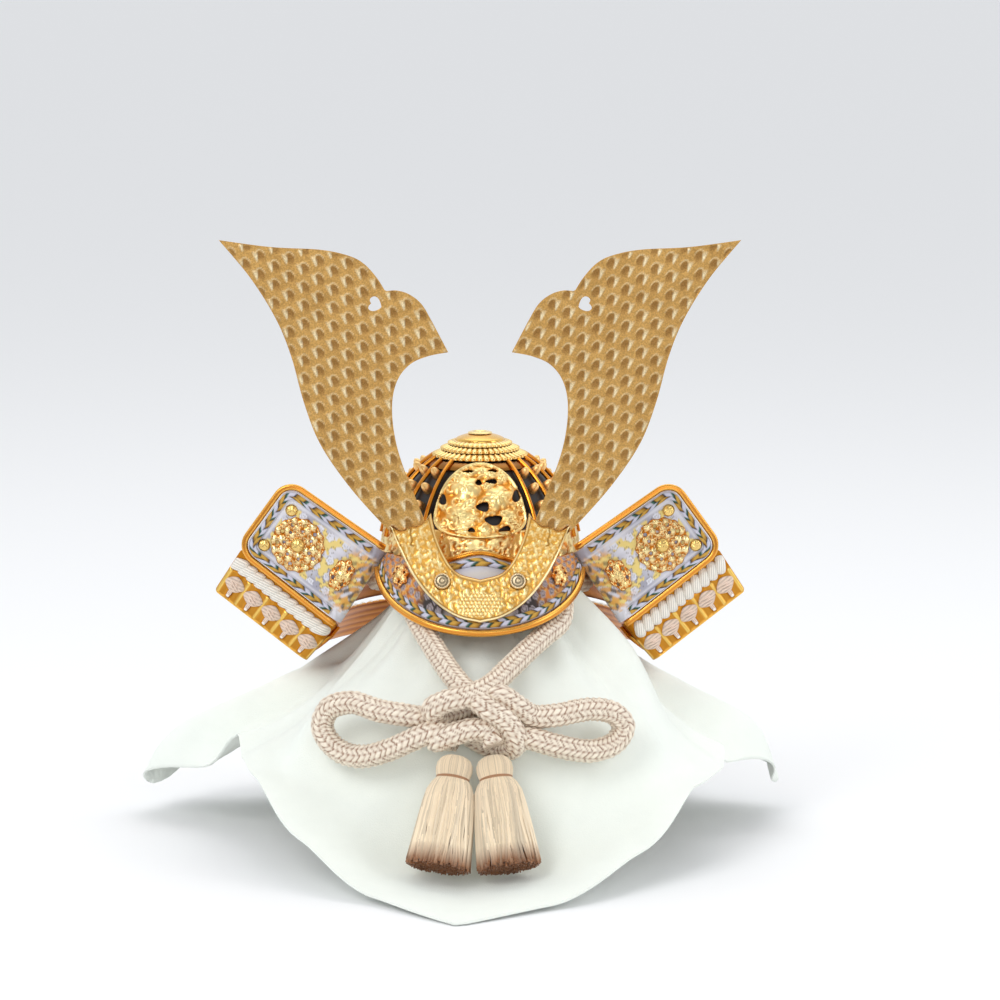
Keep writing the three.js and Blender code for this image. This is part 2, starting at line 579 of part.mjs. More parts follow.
// Tassel along -Z from its top: a round head, a bound neck and a skirt of locks.
function makeTassel(x, lean, spread) {
  const profile = [[0, 0], [5, -0.4], [tassel.head - 0.4, -4.5], [tassel.head - 0.6, -tassel.headLength],
    [10.2, -15.5], [11.4, -24], [12.8, -40], [tassel.skirt, 2 - tassel.length], [0, -tassel.length]];
  const at = (i, round) => {
    const [r, z] = profile[i];
    const lock = z < -12 ? 1 + 0.07 * Math.cos(rad(round * tassel.locks)) : 1;
    return v3(r * lock * Math.sin(rad(round)), -r * lock * Math.cos(rad(round)) * 0.72, z);
  };
  return turned(turns(tassel.locks * 2), profile.map((_, i) => i), (u, i) => at(i, u))
    .rotateY(spread).rotateX(-lean).translate(x, -116, 62.7);
}

// ---------------------------------------------------------------- stand and cloth
const makeStandCore = () => lathe([[0, 0], [stand.foot, 0], [stand.foot, stand.footHeight - 2],
  [stand.foot - 2, stand.footHeight], [stand.post + 3, stand.footHeight + 1], [stand.post, stand.footHeight + 5],
  [stand.post, 170], [stand.pad, 180], [stand.pad, 187], [14, 194], [0, stand.topZ]], 14);

// The cloth: a square laid corner to the front over the pad. Each row is one fold or hollow, by its
// angle round from the front; r and z at the shoulder, the middle, the knee and the hem.
const folds = [
  { round: -180, shoulder: [47, 116], middle: [92, 72], knee: [124, 14], hem: [200, 2] },
  { round: -155, shoulder: [47, 116], middle: [95, 75], knee: [125, 34], hem: [150, 22] },
  { round: -130, shoulder: [46, 116], middle: [85, 72], knee: [110, 48], hem: [130, 42] },
  { round: -104, shoulder: [47, 117], middle: [90, 84], knee: [145, 66], hem: [191, 28] },
  { round: -78, shoulder: [48, 117], middle: [78, 82], knee: [106, 62], hem: [127, 56] },
  { round: -52, shoulder: [52, 118], middle: [103, 73], knee: [124, 53], hem: [142, 46] },
  { round: -34, shoulder: [54, 118], middle: [97, 77], knee: [122, 34], hem: [158, 25] },
  { round: -18, shoulder: [56, 118], middle: [95, 80], knee: [123, 16], hem: [174, 5] },
  { round: -3, shoulder: [56, 118], middle: [94, 80], knee: [122, 10], hem: [208, 2] },
  { round: 12, shoulder: [56, 118], middle: [95, 80], knee: [123, 14], hem: [180, 4] },
  { round: 30, shoulder: [54, 119], middle: [96, 77], knee: [122, 30], hem: [158, 20] },
  { round: 50, shoulder: [52, 120], middle: [102, 72], knee: [123, 51], hem: [140, 42] },
  { round: 78, shoulder: [48, 117], middle: [78, 82], knee: [106, 62], hem: [127, 54] },
  { round: 104, shoulder: [47, 117], middle: [90, 84], knee: [140, 64], hem: [184, 24] },
  { round: 130, shoulder: [46, 116], middle: [85, 72], knee: [110, 48], hem: [130, 42] },
  { round: 155, shoulder: [47, 116], middle: [95, 75], knee: [125, 34], hem: [150, 22] },
  { round: 180, shoulder: [47, 116], middle: [92, 72], knee: [124, 14], hem: [200, 2] },
];
const padStations = [[0, 199.1], [14, 196.6], [22, 190], [27, 172], [33, 150]];

// A point on the cloth's top side: angle round from the front, and station number from the middle out.
function onCloth(round, station) {
  const wrapped = ((round + 540) % 360) - 180;
  let i = 0;
  while (i < folds.length - 2 && folds[i + 1].round <= wrapped) i += 1;
  const [a, b] = [folds[i], folds[i + 1]];
  const t = (wrapped - a.round) / (b.round - a.round);
  const ease = t * t * (3 - 2 * t);
  const blend = (k) => [0, 1].map((n) => a[k][n] + (b[k][n] - a[k][n]) * ease);
  const points = [...padStations, blend('shoulder'), blend('middle'), blend('knee'), blend('hem')];
  const curve = new THREE.CatmullRomCurve3(points.map(([r, z]) => v3(r, 0, z)), false, 'centripetal');
  const p = curve.getPoint(Math.min(Math.max(station, 0), 8) / 8);
  return v3(p.x * Math.sin(rad(round)), -p.x * Math.cos(rad(round)), p.z);
}

function makeCloth() {
  const inner = (u, v) => {
    if (v === 0) return onCloth(u, 0).add(v3(0, 0, -cloth.thick));
    const n = normalOf(onCloth, u, Math.min(v, 7.95), 1, 0.05);
    if (n.z < 0) n.negate();
    return onCloth(u, v).addScaledVector(n, -cloth.thick);
  };
  const stations = [0, 1, 2, 3, 4, 5, 5.5, 6, 6.6, 7.2, 8];
  return wall(turns(32), stations, onCloth, inner, true);
}

// ---------------------------------------------------------------- assembly
const colours = {
  gilt: [0xd9ab4e, 0.32, 1], deepGilt: [0xd08a2a, 0.3, 1], hornGilt: [0xc79b55, 0.45, 1], dark: [0x2a211b, 0.5, 0],
  braid: [0xbfc0c8, 0.8, 0], satin: [0xb9b9c2, 0.5, 0], lacing: [0xefe6cc, 0.8, 0], knit: [0xbd9f86, 0.85, 0],
  cord: [0xd3b79f, 0.75, 0], tassel: [0xe9d3b8, 0.7, 0], cloth: [0xecf2e8, 0.9, 0], wood: [0xd8bd92, 0.6, 0],
};
const kabuto = new THREE.Group();

function add(name, geometry, colour) {
  const [color, roughness, metalness] = colours[colour];
  const mesh = new THREE.Mesh(geometry, new THREE.MeshStandardMaterial({ color, roughness, metalness }));
  mesh.name = name;
  kabuto.add(mesh);
}

add('stand_core', makeStandCore(), 'wood');
add('stand_cloth', makeCloth(), 'cloth');
add('bowl', makeBowl(), 'dark');
add('rib_cage', makeRibCage(), 'deepGilt');
add('front_plate', makeFrontPlate(), 'gilt');
add('crown_petals_lower', petalRing(24.5, 196.2, 12, 200.7, 1.2, 18, 0.05), 'gilt');
add('crown_petals_middle', petalRing(20, 199.5, 12.2, 202.4, 1.1, 16, 0.05), 'gilt');
add('crown_petals_upper', petalRing(16.5, 202.3, 12.8, 203.65, 1, 14, 0.05), 'gilt');
add('crown_dome', makeCrownDome(), 'gilt');
add('crown_cap', makeCrownCap(), 'gilt');
add('visor', makeVisor(), 'satin');
add('visor_rim', makeVisorRim(), 'deepGilt');
add('visor_braid', makeVisorBraid(), 'braid');
add('brow_strip', makeBrowStrip(), 'deepGilt');
add('brow_braid', makeBrowBraid(), 'braid');
add('horn_stand', makeHornStand(), 'gilt');
add('neck_lame_upper', makeNeckLame(neck.upper), 'satin');
add('neck_lame_lower', makeNeckLame(neck.lower), 'deepGilt');
add('neck_lacing', makeNeckLacing(), 'lacing');
add('neck_knits', makeNeckKnits(), 'knit');
add('chin_cord', makeChinCord(), 'cord');
for (const [name, side] of [['left', -1], ['right', 1]]) {
  add(`horn_${name}`, makeHorn(side), 'hornGilt');
  add(`horn_stud_${name}`, makeStud(side), 'gilt');
  add(`visor_ornament_${name}`, makeVisorOrnament(side), 'deepGilt');
  add(`wing_${name}`, makePanel(wing, side), 'satin');
  add(`wing_rim_${name}`, makeWingRim(side), 'deepGilt');
  add(`wing_braid_${name}`, makeWingBraid(side), 'braid');
  add(`wing_rosette_${name}`, makeRosette(side), 'gilt');
  add(`rosette_boss_${name}`, makeRosetteBoss(side), 'gilt');
  add(`wing_stud_upper_${name}`, makeWingStud(side, 52.5, 31.5), 'gilt');
  add(`wing_stud_lower_${name}`, makeWingStud(side, 53.6, 8.3), 'gilt');
  add(`wing_ornament_${name}`, makeWingOrnament(side), 'gilt');
  add(`lower_lame_${name}`, makeLowerLame(side), 'deepGilt');
  add(`lower_lacing_${name}`, makeLacing(side), 'lacing');
  for (let i = 0; i < lowerLame.knits; i += 1) {
    add(`lower_knit_${name}_${i + 1}`, makeLowerKnit(side, i), 'knit');
  }
}
add('tassel_left', makeTassel(-11.9, 0.49, 0.16), 'tassel');
add('tassel_right', makeTassel(7.2, 0.49, -0.14), 'tassel');

export default kabuto;
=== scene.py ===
"""A small display kabuto: gilt helmet with tall flat horns, turned-back wings, a laced neck guard and a
bow-tied chin cord, on a stand under a draped cloth.

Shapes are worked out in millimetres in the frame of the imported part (+Z up, the helmet faces -Y) and
become metres when a mesh is made. Colours are written as 0-255 screen values and kept linear."""

import math

import bmesh
import bpy
import numpy as np
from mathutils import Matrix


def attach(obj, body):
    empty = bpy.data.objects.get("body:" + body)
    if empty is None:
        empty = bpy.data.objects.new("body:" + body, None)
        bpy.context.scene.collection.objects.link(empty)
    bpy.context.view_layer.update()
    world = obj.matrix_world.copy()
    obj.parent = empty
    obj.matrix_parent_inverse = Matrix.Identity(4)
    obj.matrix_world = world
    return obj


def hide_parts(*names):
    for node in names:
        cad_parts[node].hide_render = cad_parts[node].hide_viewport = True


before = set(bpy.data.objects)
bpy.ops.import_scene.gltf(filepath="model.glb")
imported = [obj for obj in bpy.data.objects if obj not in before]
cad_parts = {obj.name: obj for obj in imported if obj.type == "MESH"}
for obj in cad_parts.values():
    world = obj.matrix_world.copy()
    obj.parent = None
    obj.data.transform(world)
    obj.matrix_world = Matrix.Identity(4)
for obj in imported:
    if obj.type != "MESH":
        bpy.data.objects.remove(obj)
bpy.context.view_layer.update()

MM = 0.001
TAU = 2 * math.pi
SIDES = {"left": -1, "right": 1}


# ---------------------------------------------------------------- numbers and curves
def colour(red, green, blue):
    """Screen values from 0 to 255 as a linear colour."""
    share = np.array([red, green, blue]) / 255
    return np.where(share <= 0.04045, share / 12.92, ((share + 0.055) / 1.055) ** 2.4)


def smooth(low, high, x):
    """0 below low, 1 above high, and 3t^2 - 2t^3 between."""
    t = np.clip((x - low) / (high - low), 0, 1)
    return t * t * (3 - 2 * t)


def between(x, low, rise, fall, high):
    """0 up to low, 1 from rise to fall, and 0 again past high."""
    return smooth(low, rise, x) * (1 - smooth(fall, high, x))


def mix(a, b, share):
    """a + (b - a) * share, for colours with a share for each point."""
    return a + (b - a) * np.asarray(share)[..., None]


def bell(x, width):
    """exp(-(x / width)^2): 1 at x = 0, falling smoothly to 0 on both sides."""
    return np.exp(-((x / width) ** 2))


def around(count):
    """Angles set evenly round a turn, from 0."""
    return np.arange(count) * TAU / count


def polar(r, a, z, deep=1):
    """Points at angle a from the front, round the upright axis: (r sin a, -deep r cos a, z)."""
    return np.stack(np.broadcast_arrays(r * np.sin(a), -r * np.cos(a) * deep, z), -1)


def rounded(x):
    """sqrt(1 - x^2), and 0 past x = 1."""
    return np.sqrt(np.clip(1 - x**2, 0, 1))


def coated(tint, *coats):
    """A colour under coats of (red, green, blue, share), each laid over the last."""
    for red, green, blue, share in coats:
        tint = mix(tint, colour(red, green, blue), share)
    return tint


def unit(v):
    return v / np.maximum(np.linalg.norm(v, axis=-1, keepdims=True), 1e-9)


def catmull(points, stations):
    """Centripetal Catmull-Rom curves through (..., n, d) points, read at station numbers 0 to n - 1: each
    stretch is a cubic whose end slopes weigh the neighbours by the square roots of the gaps to them."""
    p = np.asarray(points, float)
    first, last = 2 * p[..., :1, :] - p[..., 1:2, :], 2 * p[..., -1:, :] - p[..., -2:-1, :]
    count = p.shape[-2]
    p = np.concatenate([first, p, last], axis=-2)
    gap = np.maximum(np.linalg.norm(np.diff(p, axis=-2), axis=-1, keepdims=True) ** 0.5, 1e-4)
    i = np.clip(np.floor(stations).astype(int), 0, count - 2)
    s = (stations - i)[:, None]
    p0, p1, p2, p3 = (p[..., i + k, :] for k in range(4))
    g0, g1, g2 = (gap[..., i + k, :] for k in range(3))
    m1 = ((p1 - p0) / g0 - (p2 - p0) / (g0 + g1) + (p2 - p1) / g1) * g1
    m2 = ((p2 - p1) / g1 - (p3 - p1) / (g1 + g2) + (p3 - p2) / g2) * g1
    return p1 + m1 * s + (3 * (p2 - p1) - 2 * m1 - m2) * s**2 + (2 * (p1 - p2) + m1 + m2) * s**3


def evenly(curve, count):
    """The curve's points read again at equal lengths along it."""
    along = np.concatenate([[0], np.cumsum(np.linalg.norm(np.diff(curve, axis=0), axis=1))])
    at = np.linspace(0, along[-1], count)
    return np.stack([np.interp(at, along, curve[:, k]) for k in range(curve.shape[1])], -1)


def route(points, step):
    """A smooth route through points, with a point about every step millimetres."""
    fine = catmull(points, np.linspace(0, len(points) - 1, 24 * len(points)))
    length = np.linalg.norm(np.diff(fine, axis=0), axis=1).sum()
    return evenly(fine, int(round(length / step)) + 1)


def outline_through(points, per):
    """A flat spline through points: each stretch is a cubic with slopes (next - last) / 2."""
    p = np.asarray(points, float)
    slope = np.gradient(p, axis=0)
    slope[[0, -1]] *= 0.5
    s = np.linspace(0, 1, per, endpoint=False)[None, :, None]
    a, b, m, n = p[:-1, None], p[1:, None], slope[:-1, None], slope[1:, None]
    curve = a + m * s + (3 * (b - a) - 2 * m - n) * s**2 + (2 * (a - b) + m + n) * s**3
    return np.vstack([curve.reshape(-1, 2), p[-1:]])


def outline_distance(points, outline):
    """How far inside a closed outline each flat point is: the distance to its nearest stretch, negative
    outside, where a line drawn to the right crosses the outline an even number of times."""
    nearest = np.full(len(points), 1e9)
    inside = np.zeros(len(points), bool)
    for a, b in zip(outline, np.roll(outline, -1, axis=0)):
        span = b - a
        size = span @ span
        if size < 1e-12:
            continue
        rel = points - a
        t = np.clip(rel @ span / size, 0, 1)
        nearest = np.minimum(nearest, np.hypot(*(rel - t[:, None] * span).T))
        if a[1] != b[1]:
            crosses = (a[1] > points[:, 1]) != (b[1] > points[:, 1])
            inside ^= crosses & (points[:, 0] < a[0] + span[0] * (points[:, 1] - a[1]) / span[1])
    return np.where(inside, nearest, -nearest)


def frames_along(path):
    """Side and up at each point of a path; the side turns only as far as the path bends."""
    tangent = unit(np.gradient(path, axis=0))
    side = np.empty_like(path)
    side[0] = unit(np.cross(tangent[0], [0.1, 0.2, 1.0]))
    for i in range(1, len(path)):
        side[i] = unit(side[i - 1] - tangent[i] * (side[i - 1] @ tangent[i]))
    return side, np.cross(side, tangent)


# ---------------------------------------------------------------- meshes
def grid_faces(rows, columns, wrap=False):
    """Corner numbers of the cells between rows x columns points; wrap joins the last row to the first."""
    i = np.arange(rows if wrap else rows - 1)[:, None] * columns
    j = np.arange(columns - 1)[None, :]
    a = (i + j).ravel()
    b = ((i + columns) % (rows * columns) + j).ravel()
    return np.stack([a, b, b + 1, a + 1], 1)


def border(faces, count):
    """Edges that only one face uses, each running as its face does."""
    edges = np.vstack([f[:, [i, (i + 1) % f.shape[1]]] for f in faces if len(f) for i in range(f.shape[1])])
    low, high = edges.min(1), edges.max(1)
    _, first, uses = np.unique(low.astype(np.int64) * count + high, return_index=True, return_counts=True)
    return edges[first[uses == 1]]


class Skin:
    """Points, faces and colours gathered from several surfaces, made into one mesh at the end."""

    def __init__(self):
        self.points, self.tints, self.faces, self.count = [], [], {3: [], 4: []}, 0

    def add(self, points, faces, tint):
        points = np.asarray(points, float).reshape(-1, 3)
        for face in faces if isinstance(faces, list) else [faces]:
            if len(face):
                self.faces[face.shape[1]].append(face + self.count)
        self.points.append(points)
        self.tints.append(np.broadcast_to(np.asarray(tint, float).reshape(-1, 3), points.shape))
        self.count += len(points)

    def thick(self, front, back, faces, tint, back_tint=None):
        """A closed wall: front and back surfaces of the same faces, joined along every border."""
        front, back = front.reshape(-1, 3), back.reshape(-1, 3)
        faces = faces if isinstance(faces, list) else [faces]
        n = len(front)
        edge = border(faces, n)
        side = np.stack([edge[:, 1], edge[:, 0], edge[:, 0] + n, edge[:, 1] + n], 1)
        both = [np.broadcast_to(np.asarray(shade, float).reshape(-1, 3), front.shape)
                for shade in (tint, tint if back_tint is None else back_tint)]
        self.add(np.vstack([front, back]), [*faces, *[f[:, ::-1] + n for f in faces if len(f)], side],
                 np.vstack(both))

    def tube(self, path, radius, sides, tint):
        """A round tube: centre + radius * (side * cos a + up * sin a), closed by a point at each end."""
        side, up = frames_along(np.asarray(path, float))
        a = around(sides)[:, None, None]
        radius = np.asarray(radius, float)
        radius = radius.T[..., None] if radius.ndim == 2 else radius.reshape(1, -1, 1)
        rings = path + radius * (side * np.cos(a) + up * np.sin(a))
        self.capped(rings, path[0], path[-1], tint)

    def capped(self, rings, start, end, tint):
        """A closed skin: (sides, steps, 3) rings and a middle point at each end."""
        sides, steps = rings.shape[:2]
        n = sides * steps
        i = np.arange(sides)
        j = (i + 1) % sides
        start_fan = np.stack([np.full(sides, n), j * steps, i * steps], 1)
        end_fan = np.stack([np.full(sides, n + 1), i * steps + steps - 1, j * steps + steps - 1], 1)
        tint = np.asarray(tint, float)
        if tint.ndim == 3:
            tint = np.vstack([tint.reshape(-1, 3), tint[:, 0].mean(0), tint[:, -1].mean(0)])
        self.add(np.vstack([rings.reshape(-1, 3), [start], [end]]),
                 [grid_faces(sides, steps, wrap=True), start_fan, end_fan], tint)

    def make(self, name, finish, replaces, outward=True, sharp=60):
        """The finished piece: smooth but for edges that bend by more than sharp degrees."""
        points = np.vstack(self.points) * MM
        tints = np.hstack([np.vstack(self.tints), np.ones((self.count, 1))])
        blocks = [np.vstack(f) for f in self.faces.values() if f]
        corners = np.concatenate([b.ravel() for b in blocks]).astype(np.int32)
        sizes = np.concatenate([np.full(len(b), b.shape[1]) for b in blocks])
        starts = np.concatenate([[0], np.cumsum(sizes)[:-1]]).astype(np.int32)
        mesh = bpy.data.meshes.new(name)
        mesh.vertices.add(len(points))
        mesh.vertices.foreach_set("co", points.astype(np.float32).ravel())
        mesh.loops.add(len(corners))
        mesh.loops.foreach_set("vertex_index", corners)
        mesh.polygons.add(len(starts))
        mesh.polygons.foreach_set("loop_start", starts)
        mesh.update(calc_edges=True)
        mesh.validate()
        if outward:
            turn_outward(mesh)
        shades = mesh.attributes.new("tint", "FLOAT_COLOR", "POINT")
        shades.data.foreach_set("color", tints.astype(np.float32).ravel())
        mesh.polygons.foreach_set("use_smooth", np.ones(len(mesh.polygons), bool))
        mesh.set_sharp_from_angle(angle=math.radians(sharp))
        mesh.materials.append(FINISH[finish])
        piece = bpy.data.objects.new(name, mesh)
        bpy.context.scene.collection.objects.link(piece)
        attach(piece, "root")
        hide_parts(replaces)
        return piece


def turn_outward(mesh):
    """Turns each closed shell's faces outwards."""
    work = bmesh.new()
    work.from_mesh(mesh)
    bmesh.ops.recalc_face_normals(work, faces=work.faces)
    work.to_mesh(mesh)
    work.free()


def wall_piece(name, finish, replaces, front, back, faces, tint, back_tint=None, **how):
    """A piece that is one closed wall."""
    skin = Skin()
    skin.thick(front, back, faces, tint, back_tint)
    return skin.make(name, finish, replaces, **how)


def ring_piece(name, finish, replaces, rings, tint, start=None, end=None, **how):
    """A piece that is one closed skin of rings. Start and end are its ends' middle points, by default the
    middles of the first and the last ring."""
    skin = Skin()
    skin.capped(rings, rings[:, 0].mean(0) if start is None else start,
                rings[:, -1].mean(0) if end is None else end, tint)
    return skin.make(name, finish, replaces, **how)


def clipped_grid(low, high, pitch, inside):
    """A flat grid kept where inside() is positive, a distance in millimetres from the outline. Points less
    than 0.7 of a step from the outline move on to it, and a cell with one corner outside is a triangle."""
    us = np.arange(low[0], high[0] + pitch, pitch)
    vs = np.arange(low[1], high[1] + pitch, pitch)
    flat = np.stack(np.meshgrid(us, vs, indexing="ij"), -1).reshape(-1, 2)
    distance = inside(flat)
    near = np.abs(distance) < 0.7 * pitch
    for _ in range(2):
        spot = flat[near]
        step = 0.05 * pitch
        slope = np.stack([inside(spot + [step, 0]) - inside(spot - [step, 0]),
                          inside(spot + [0, step]) - inside(spot - [0, step])], 1) / (2 * step)
        flat[near] = spot - inside(spot)[:, None] * slope / np.maximum((slope**2).sum(1), 0.3)[:, None]
    keep = distance > -0.7 * pitch
    cells = grid_faces(len(us), len(vs))
    kept = keep[cells]
    quads = cells[kept.all(1)]
    odd = cells[kept.sum(1) == 3]
    gone = np.argmin(keep[odd], axis=1)
    order = (gone[:, None] + np.array([1, 2, 3])) % 4
    tris = np.take_along_axis(odd, order, 1)
    used = np.unique(np.concatenate([quads.ravel(), tris.ravel()]))
    number = np.zeros(len(flat), int)
    number[used] = np.arange(len(used))
    depth = np.where(near, 0, distance)[used]
    return flat[used], [number[quads], number[tris]], depth


# ---------------------------------------------------------------- ornament
def scrolls(points, sites, reach, width=0.42, turns=1.35, grow=0.82):
    """Height of curling scrolls. About each site (x, y, start angle, hand) a spiral of radius
    reach * (angle / turns) ** grow winds out, and the height is exp(-(gap / width)^2)."""
    height = np.zeros(len(points))
    for x, y, start, hand in sites:
        dx, dy = points[:, 0] - x, points[:, 1] - y
        r = np.hypot(dx, dy)
        near = r < reach * 1.5
        if not near.any():
            continue
        angle = (hand * np.arctan2(dy[near], dx[near]) - start) % TAU
        best = np.full(near.sum(), 9.0)
        for lap in range(int(math.ceil(turns)) + 1):
            share = (angle + TAU * lap) / (TAU * turns)
            arm = np.where(share <= 1, reach * np.minimum(share, 1) ** grow, 9e9)
            best = np.minimum(best, np.abs(r[near] - arm))
        height[near] = np.maximum(height[near], bell(best, width))
    return height


def petals(points, x, y, radius, count, start=0.0):
    """A flower about (x, y): a dome whose height falls to 0 at a scalloped rim and is grooved between
    petals, with a second row half way in and a round middle."""
    dx, dy = points[:, 0] - x, points[:, 1] - y
    r = np.hypot(dx, dy) / radius
    a = np.arctan2(dy, dx) + start
    rim = 0.86 + 0.14 * np.abs(np.cos(a * count / 2))
    outer = rounded(r / rim) * (0.55 + 0.45 * np.abs(np.cos(a * count / 2)) ** 0.6)
    inner = rounded(r / 0.62) * (0.6 + 0.4 * np.abs(np.sin(a * count / 2)) ** 0.6)
    middle = rounded(r / 0.24)
    return np.maximum(np.maximum(0.55 * outer, 0.8 * inner), middle)


def leaf(points, x, y, length, width, angle):
    """A leaf: height (1 - across^2) within a lens shape, with a groove along its middle and veins."""
    dx, dy = points[:, 0] - x, points[:, 1] - y
    along = (dx * math.cos(angle) + dy * math.sin(angle)) / length
    across = (-dx * math.sin(angle) + dy * math.cos(angle)) / width
    half = np.clip(1 - (2 * along - 1) ** 2, 0, 1) ** 0.7
    body = np.clip(1 - (across / np.maximum(half, 1e-3)) ** 2, 0, 1) ** 0.5
    groove = 1 - 0.45 * bell(across, 0.14)
    veins = 0.88 + 0.12 * np.cos(22 * (along + 0.5 * np.abs(across)))
    return body * groove * veins


def speckle(points, size, seed):
    """Smooth random hills of about one size, from crossed waves with random directions."""
    draw = np.random.default_rng(seed)
    waves = draw.normal(size=(9, points.shape[-1]))
    waves = unit(waves) * TAU / size * draw.uniform(0.6, 1.5, (9, 1))
    phase = draw.uniform(0, TAU, 9)
    return np.sin(points @ waves.T + phase).sum(-1) / 4.5


def scattered(low, high, spacing, seed, jitter=0.25):
    """Sites on a jittered hexagonal lattice, each with a random start angle and hand."""
    draw = np.random.default_rng(seed)
    rows = np.arange(low[1], high[1] + spacing, spacing * 0.87)
    spots = []
    for k, y in enumerate(rows):
        xs = np.arange(low[0] + (k % 2) * spacing / 2, high[0] + spacing, spacing)
        spots.append(np.stack([xs, np.full(len(xs), y)], 1))
    spots = np.vstack(spots)
    spots += draw.uniform(-jitter, jitter, spots.shape) * spacing
    return np.column_stack([spots, draw.uniform(0, TAU, len(spots)), draw.choice([-1, 1], len(spots))])


# ---------------------------------------------------------------- finishes
def new_material(name):
    """A new material, its node tree and its main shader."""
    material = bpy.data.materials.new(f"{name}_finish")
    material.use_nodes = True
    return material, material.node_tree, material.node_tree.nodes["Principled BSDF"]


def feed(tree, node, inputs):
    """Sets a node's inputs by name: another node's output is linked, and a value is stored."""
    for name, value in inputs.items():
        if isinstance(value, bpy.types.NodeSocket):
            tree.links.new(value, node.inputs[name])
        else:
            node.inputs[name].default_value = value


def made(tree, kind, output, inputs, **settings):
    """One output of a new shader node with these settings and inputs."""
    node = tree.nodes.new(f"ShaderNode{kind}")
    for name, value in settings.items():
        setattr(node, name, value)
    feed(tree, node, inputs)
    return node.outputs[output]


def tint_of(tree):
    """The colour that each point of the piece carries."""
    return made(tree, "Attribute", "Color", {}, attribute_name="tint")


def noise(tree, scale, detail=2):
    """A noise field on the piece's own coordinates; scale is the number of waves in a metre."""
    where = made(tree, "TexCoord", "Object", {})
    return made(tree, "TexNoise", "Fac", {"Scale": scale, "Detail": detail, "Vector": where})


def ramp(tree, fac, low, high, dark):
    """A colour from dark at low to white at high."""
    output = made(tree, "ValToRGB", "Color", {"Fac": fac})
    for element, place, shade in zip(output.node.color_ramp.elements, (low, high), (dark, (1, 1, 1))):
        element.position = place
        element.color = (*shade, 1)
    return output


def multiply(tree, a, b):
    """One colour times another."""
    return made(tree, "Mix", "Result", {"Factor": 1, "A": a, "B": b},
                data_type="RGBA", blend_type="MULTIPLY")


def bumped(tree, height, strength, distance):
    """Shading tilted by a height field; distance is its depth in metres."""
    return made(tree, "Bump", "Normal", {"Strength": strength, "Distance": distance, "Height": height})


def gilt(name, roughness, grain, grain_depth, wear=0.88, grit=1.0):
    """Plated metal: its tint, a little uneven and darkened by grit, over fine grain."""
    material, tree, shader = new_material(name)
    dull = ramp(tree, noise(tree, 90, 3), 0.3, 0.65, (wear, wear * 0.97, wear * 0.93))
    worn = multiply(tree, tint_of(tree), dull)
    if grit < 1:
        worn = multiply(tree, worn, ramp(tree, noise(tree, 1400), 0.38, 0.62, (grit,) * 3))
    feed(tree, shader, {"Base Color": worn, "Metallic": 1, "Roughness": roughness,
                        "Normal": bumped(tree, noise(tree, grain), 0.6, grain_depth)})
    return material


def fabric(name, roughness, grain, grain_depth, sheen=0.0, uneven=0.93, gloss=0.3):
    """Cloth, silk, leather or wood: its tint, slightly uneven, over a fine weave-like grain."""
    material, tree, shader = new_material(name)
    shade = ramp(tree, noise(tree, 60), 0.3, 0.7, (uneven,) * 3)
    feed(tree, shader, {"Base Color": multiply(tree, tint_of(tree), shade), "Roughness": roughness,
                        "Specular IOR Level": gloss, "Sheen Weight": sheen,
                        "Normal": bumped(tree, noise(tree, grain, 3), 0.7, grain_depth)})
    return material


# Roughness, grain in waves a metre and its depth in metres; then for metal wear and grit, and for the
# rest sheen, unevenness and gloss.
GILTS = {
    "horn_gilt": (0.42, 1400, 0.0004, 0.88, 0.72),
    "stand_gilt": (0.36, 1300, 0.00008),
    "deep_gilt": (0.27, 700, 0.00001, 0.96),
    "bright_gilt": (0.3, 900, 0.00003, 0.94),
    "crown_gilt": (0.26, 900, 0.00004),
    "rosette_gilt": (0.24, 900, 0.00005),
    "lame_gilt": (0.33, 900, 0.00005),
    "stud_silver_gilt": (0.28, 900, 0.00004),
}
FABRICS = {
    "dark_bowl": (0.45, 900, 0.00004, 0, 0.8, 0.5),
    "printed_leather": (0.45, 1200, 0.00006, 0, 0.95, 0.45),
    "printed_satin": (0.38, 1600, 0.00005, 0.2, 0.95, 0.5),
    "edge_braid": (0.55, 2200, 0.00008, 0.1, 0.95, 0.35),
    "ivory_lacing": (0.6, 2600, 0.00008, 0.25),
    "knit_cord": (0.65, 2600, 0.00008, 0.2),
    "chin_cord": (0.34, 2400, 0.00006, 0.1, 0.96, 0.7),
    "tassel_silk": (0.5, 2400, 0.00005, 0.3),
    "crepe_cloth": (0.85, 1500, 0.00022, 0.15, 0.97, 0.15),
    "stand_wood": (0.55, 300, 0.0001),
}
FINISH = {name: gilt(name, *look) for name, look in GILTS.items()}
FINISH.update({name: fabric(name, *look) for name, look in FABRICS.items()})

GOLD = colour(236, 190, 104)
PALE_GOLD = colour(252, 226, 158)
DEEP_GOLD = colour(228, 150, 52)
RIM_GOLD = colour(242, 182, 86)
# The painted shade in a relief's hollows.
HOLLOW_SHADE_GOLD = colour(205, 112, 26)
HORN_GOLD = colour(226, 180, 104)
SILVER_GOLD = colour(236, 214, 176)
BOSS_GOLD = colour(252, 210, 142)
DARK = colour(30, 25, 24)


# ---------------------------------------------------------------- camera and light
CAMERA = {"lens": 158.2, "film": 36, "shift": 0.02, "place": (0, -2.238, 0.525), "down": 8.95, "far": 200}
LIGHTS = {
    "key": ((-0.9, -1.25, 1.35), (0.9, 0.9), 11),
    "side": ((1.35, -0.55, 0.75), (0.5, 1.1), 4),
    "front": ((0.25, -1.9, 0.75), (1.1, 0.45), 3),
    "above": ((0.1, 0.55, 1.5), (1.4, 1.0), 4),
}
MIDDLE = (0, 0, 0.17)
SURROUNDING = {"From Min": -0.9, "From Max": 0.7, "To Min": 0.56, "To Max": 1.0}
FLOOR_REACH = 60.0


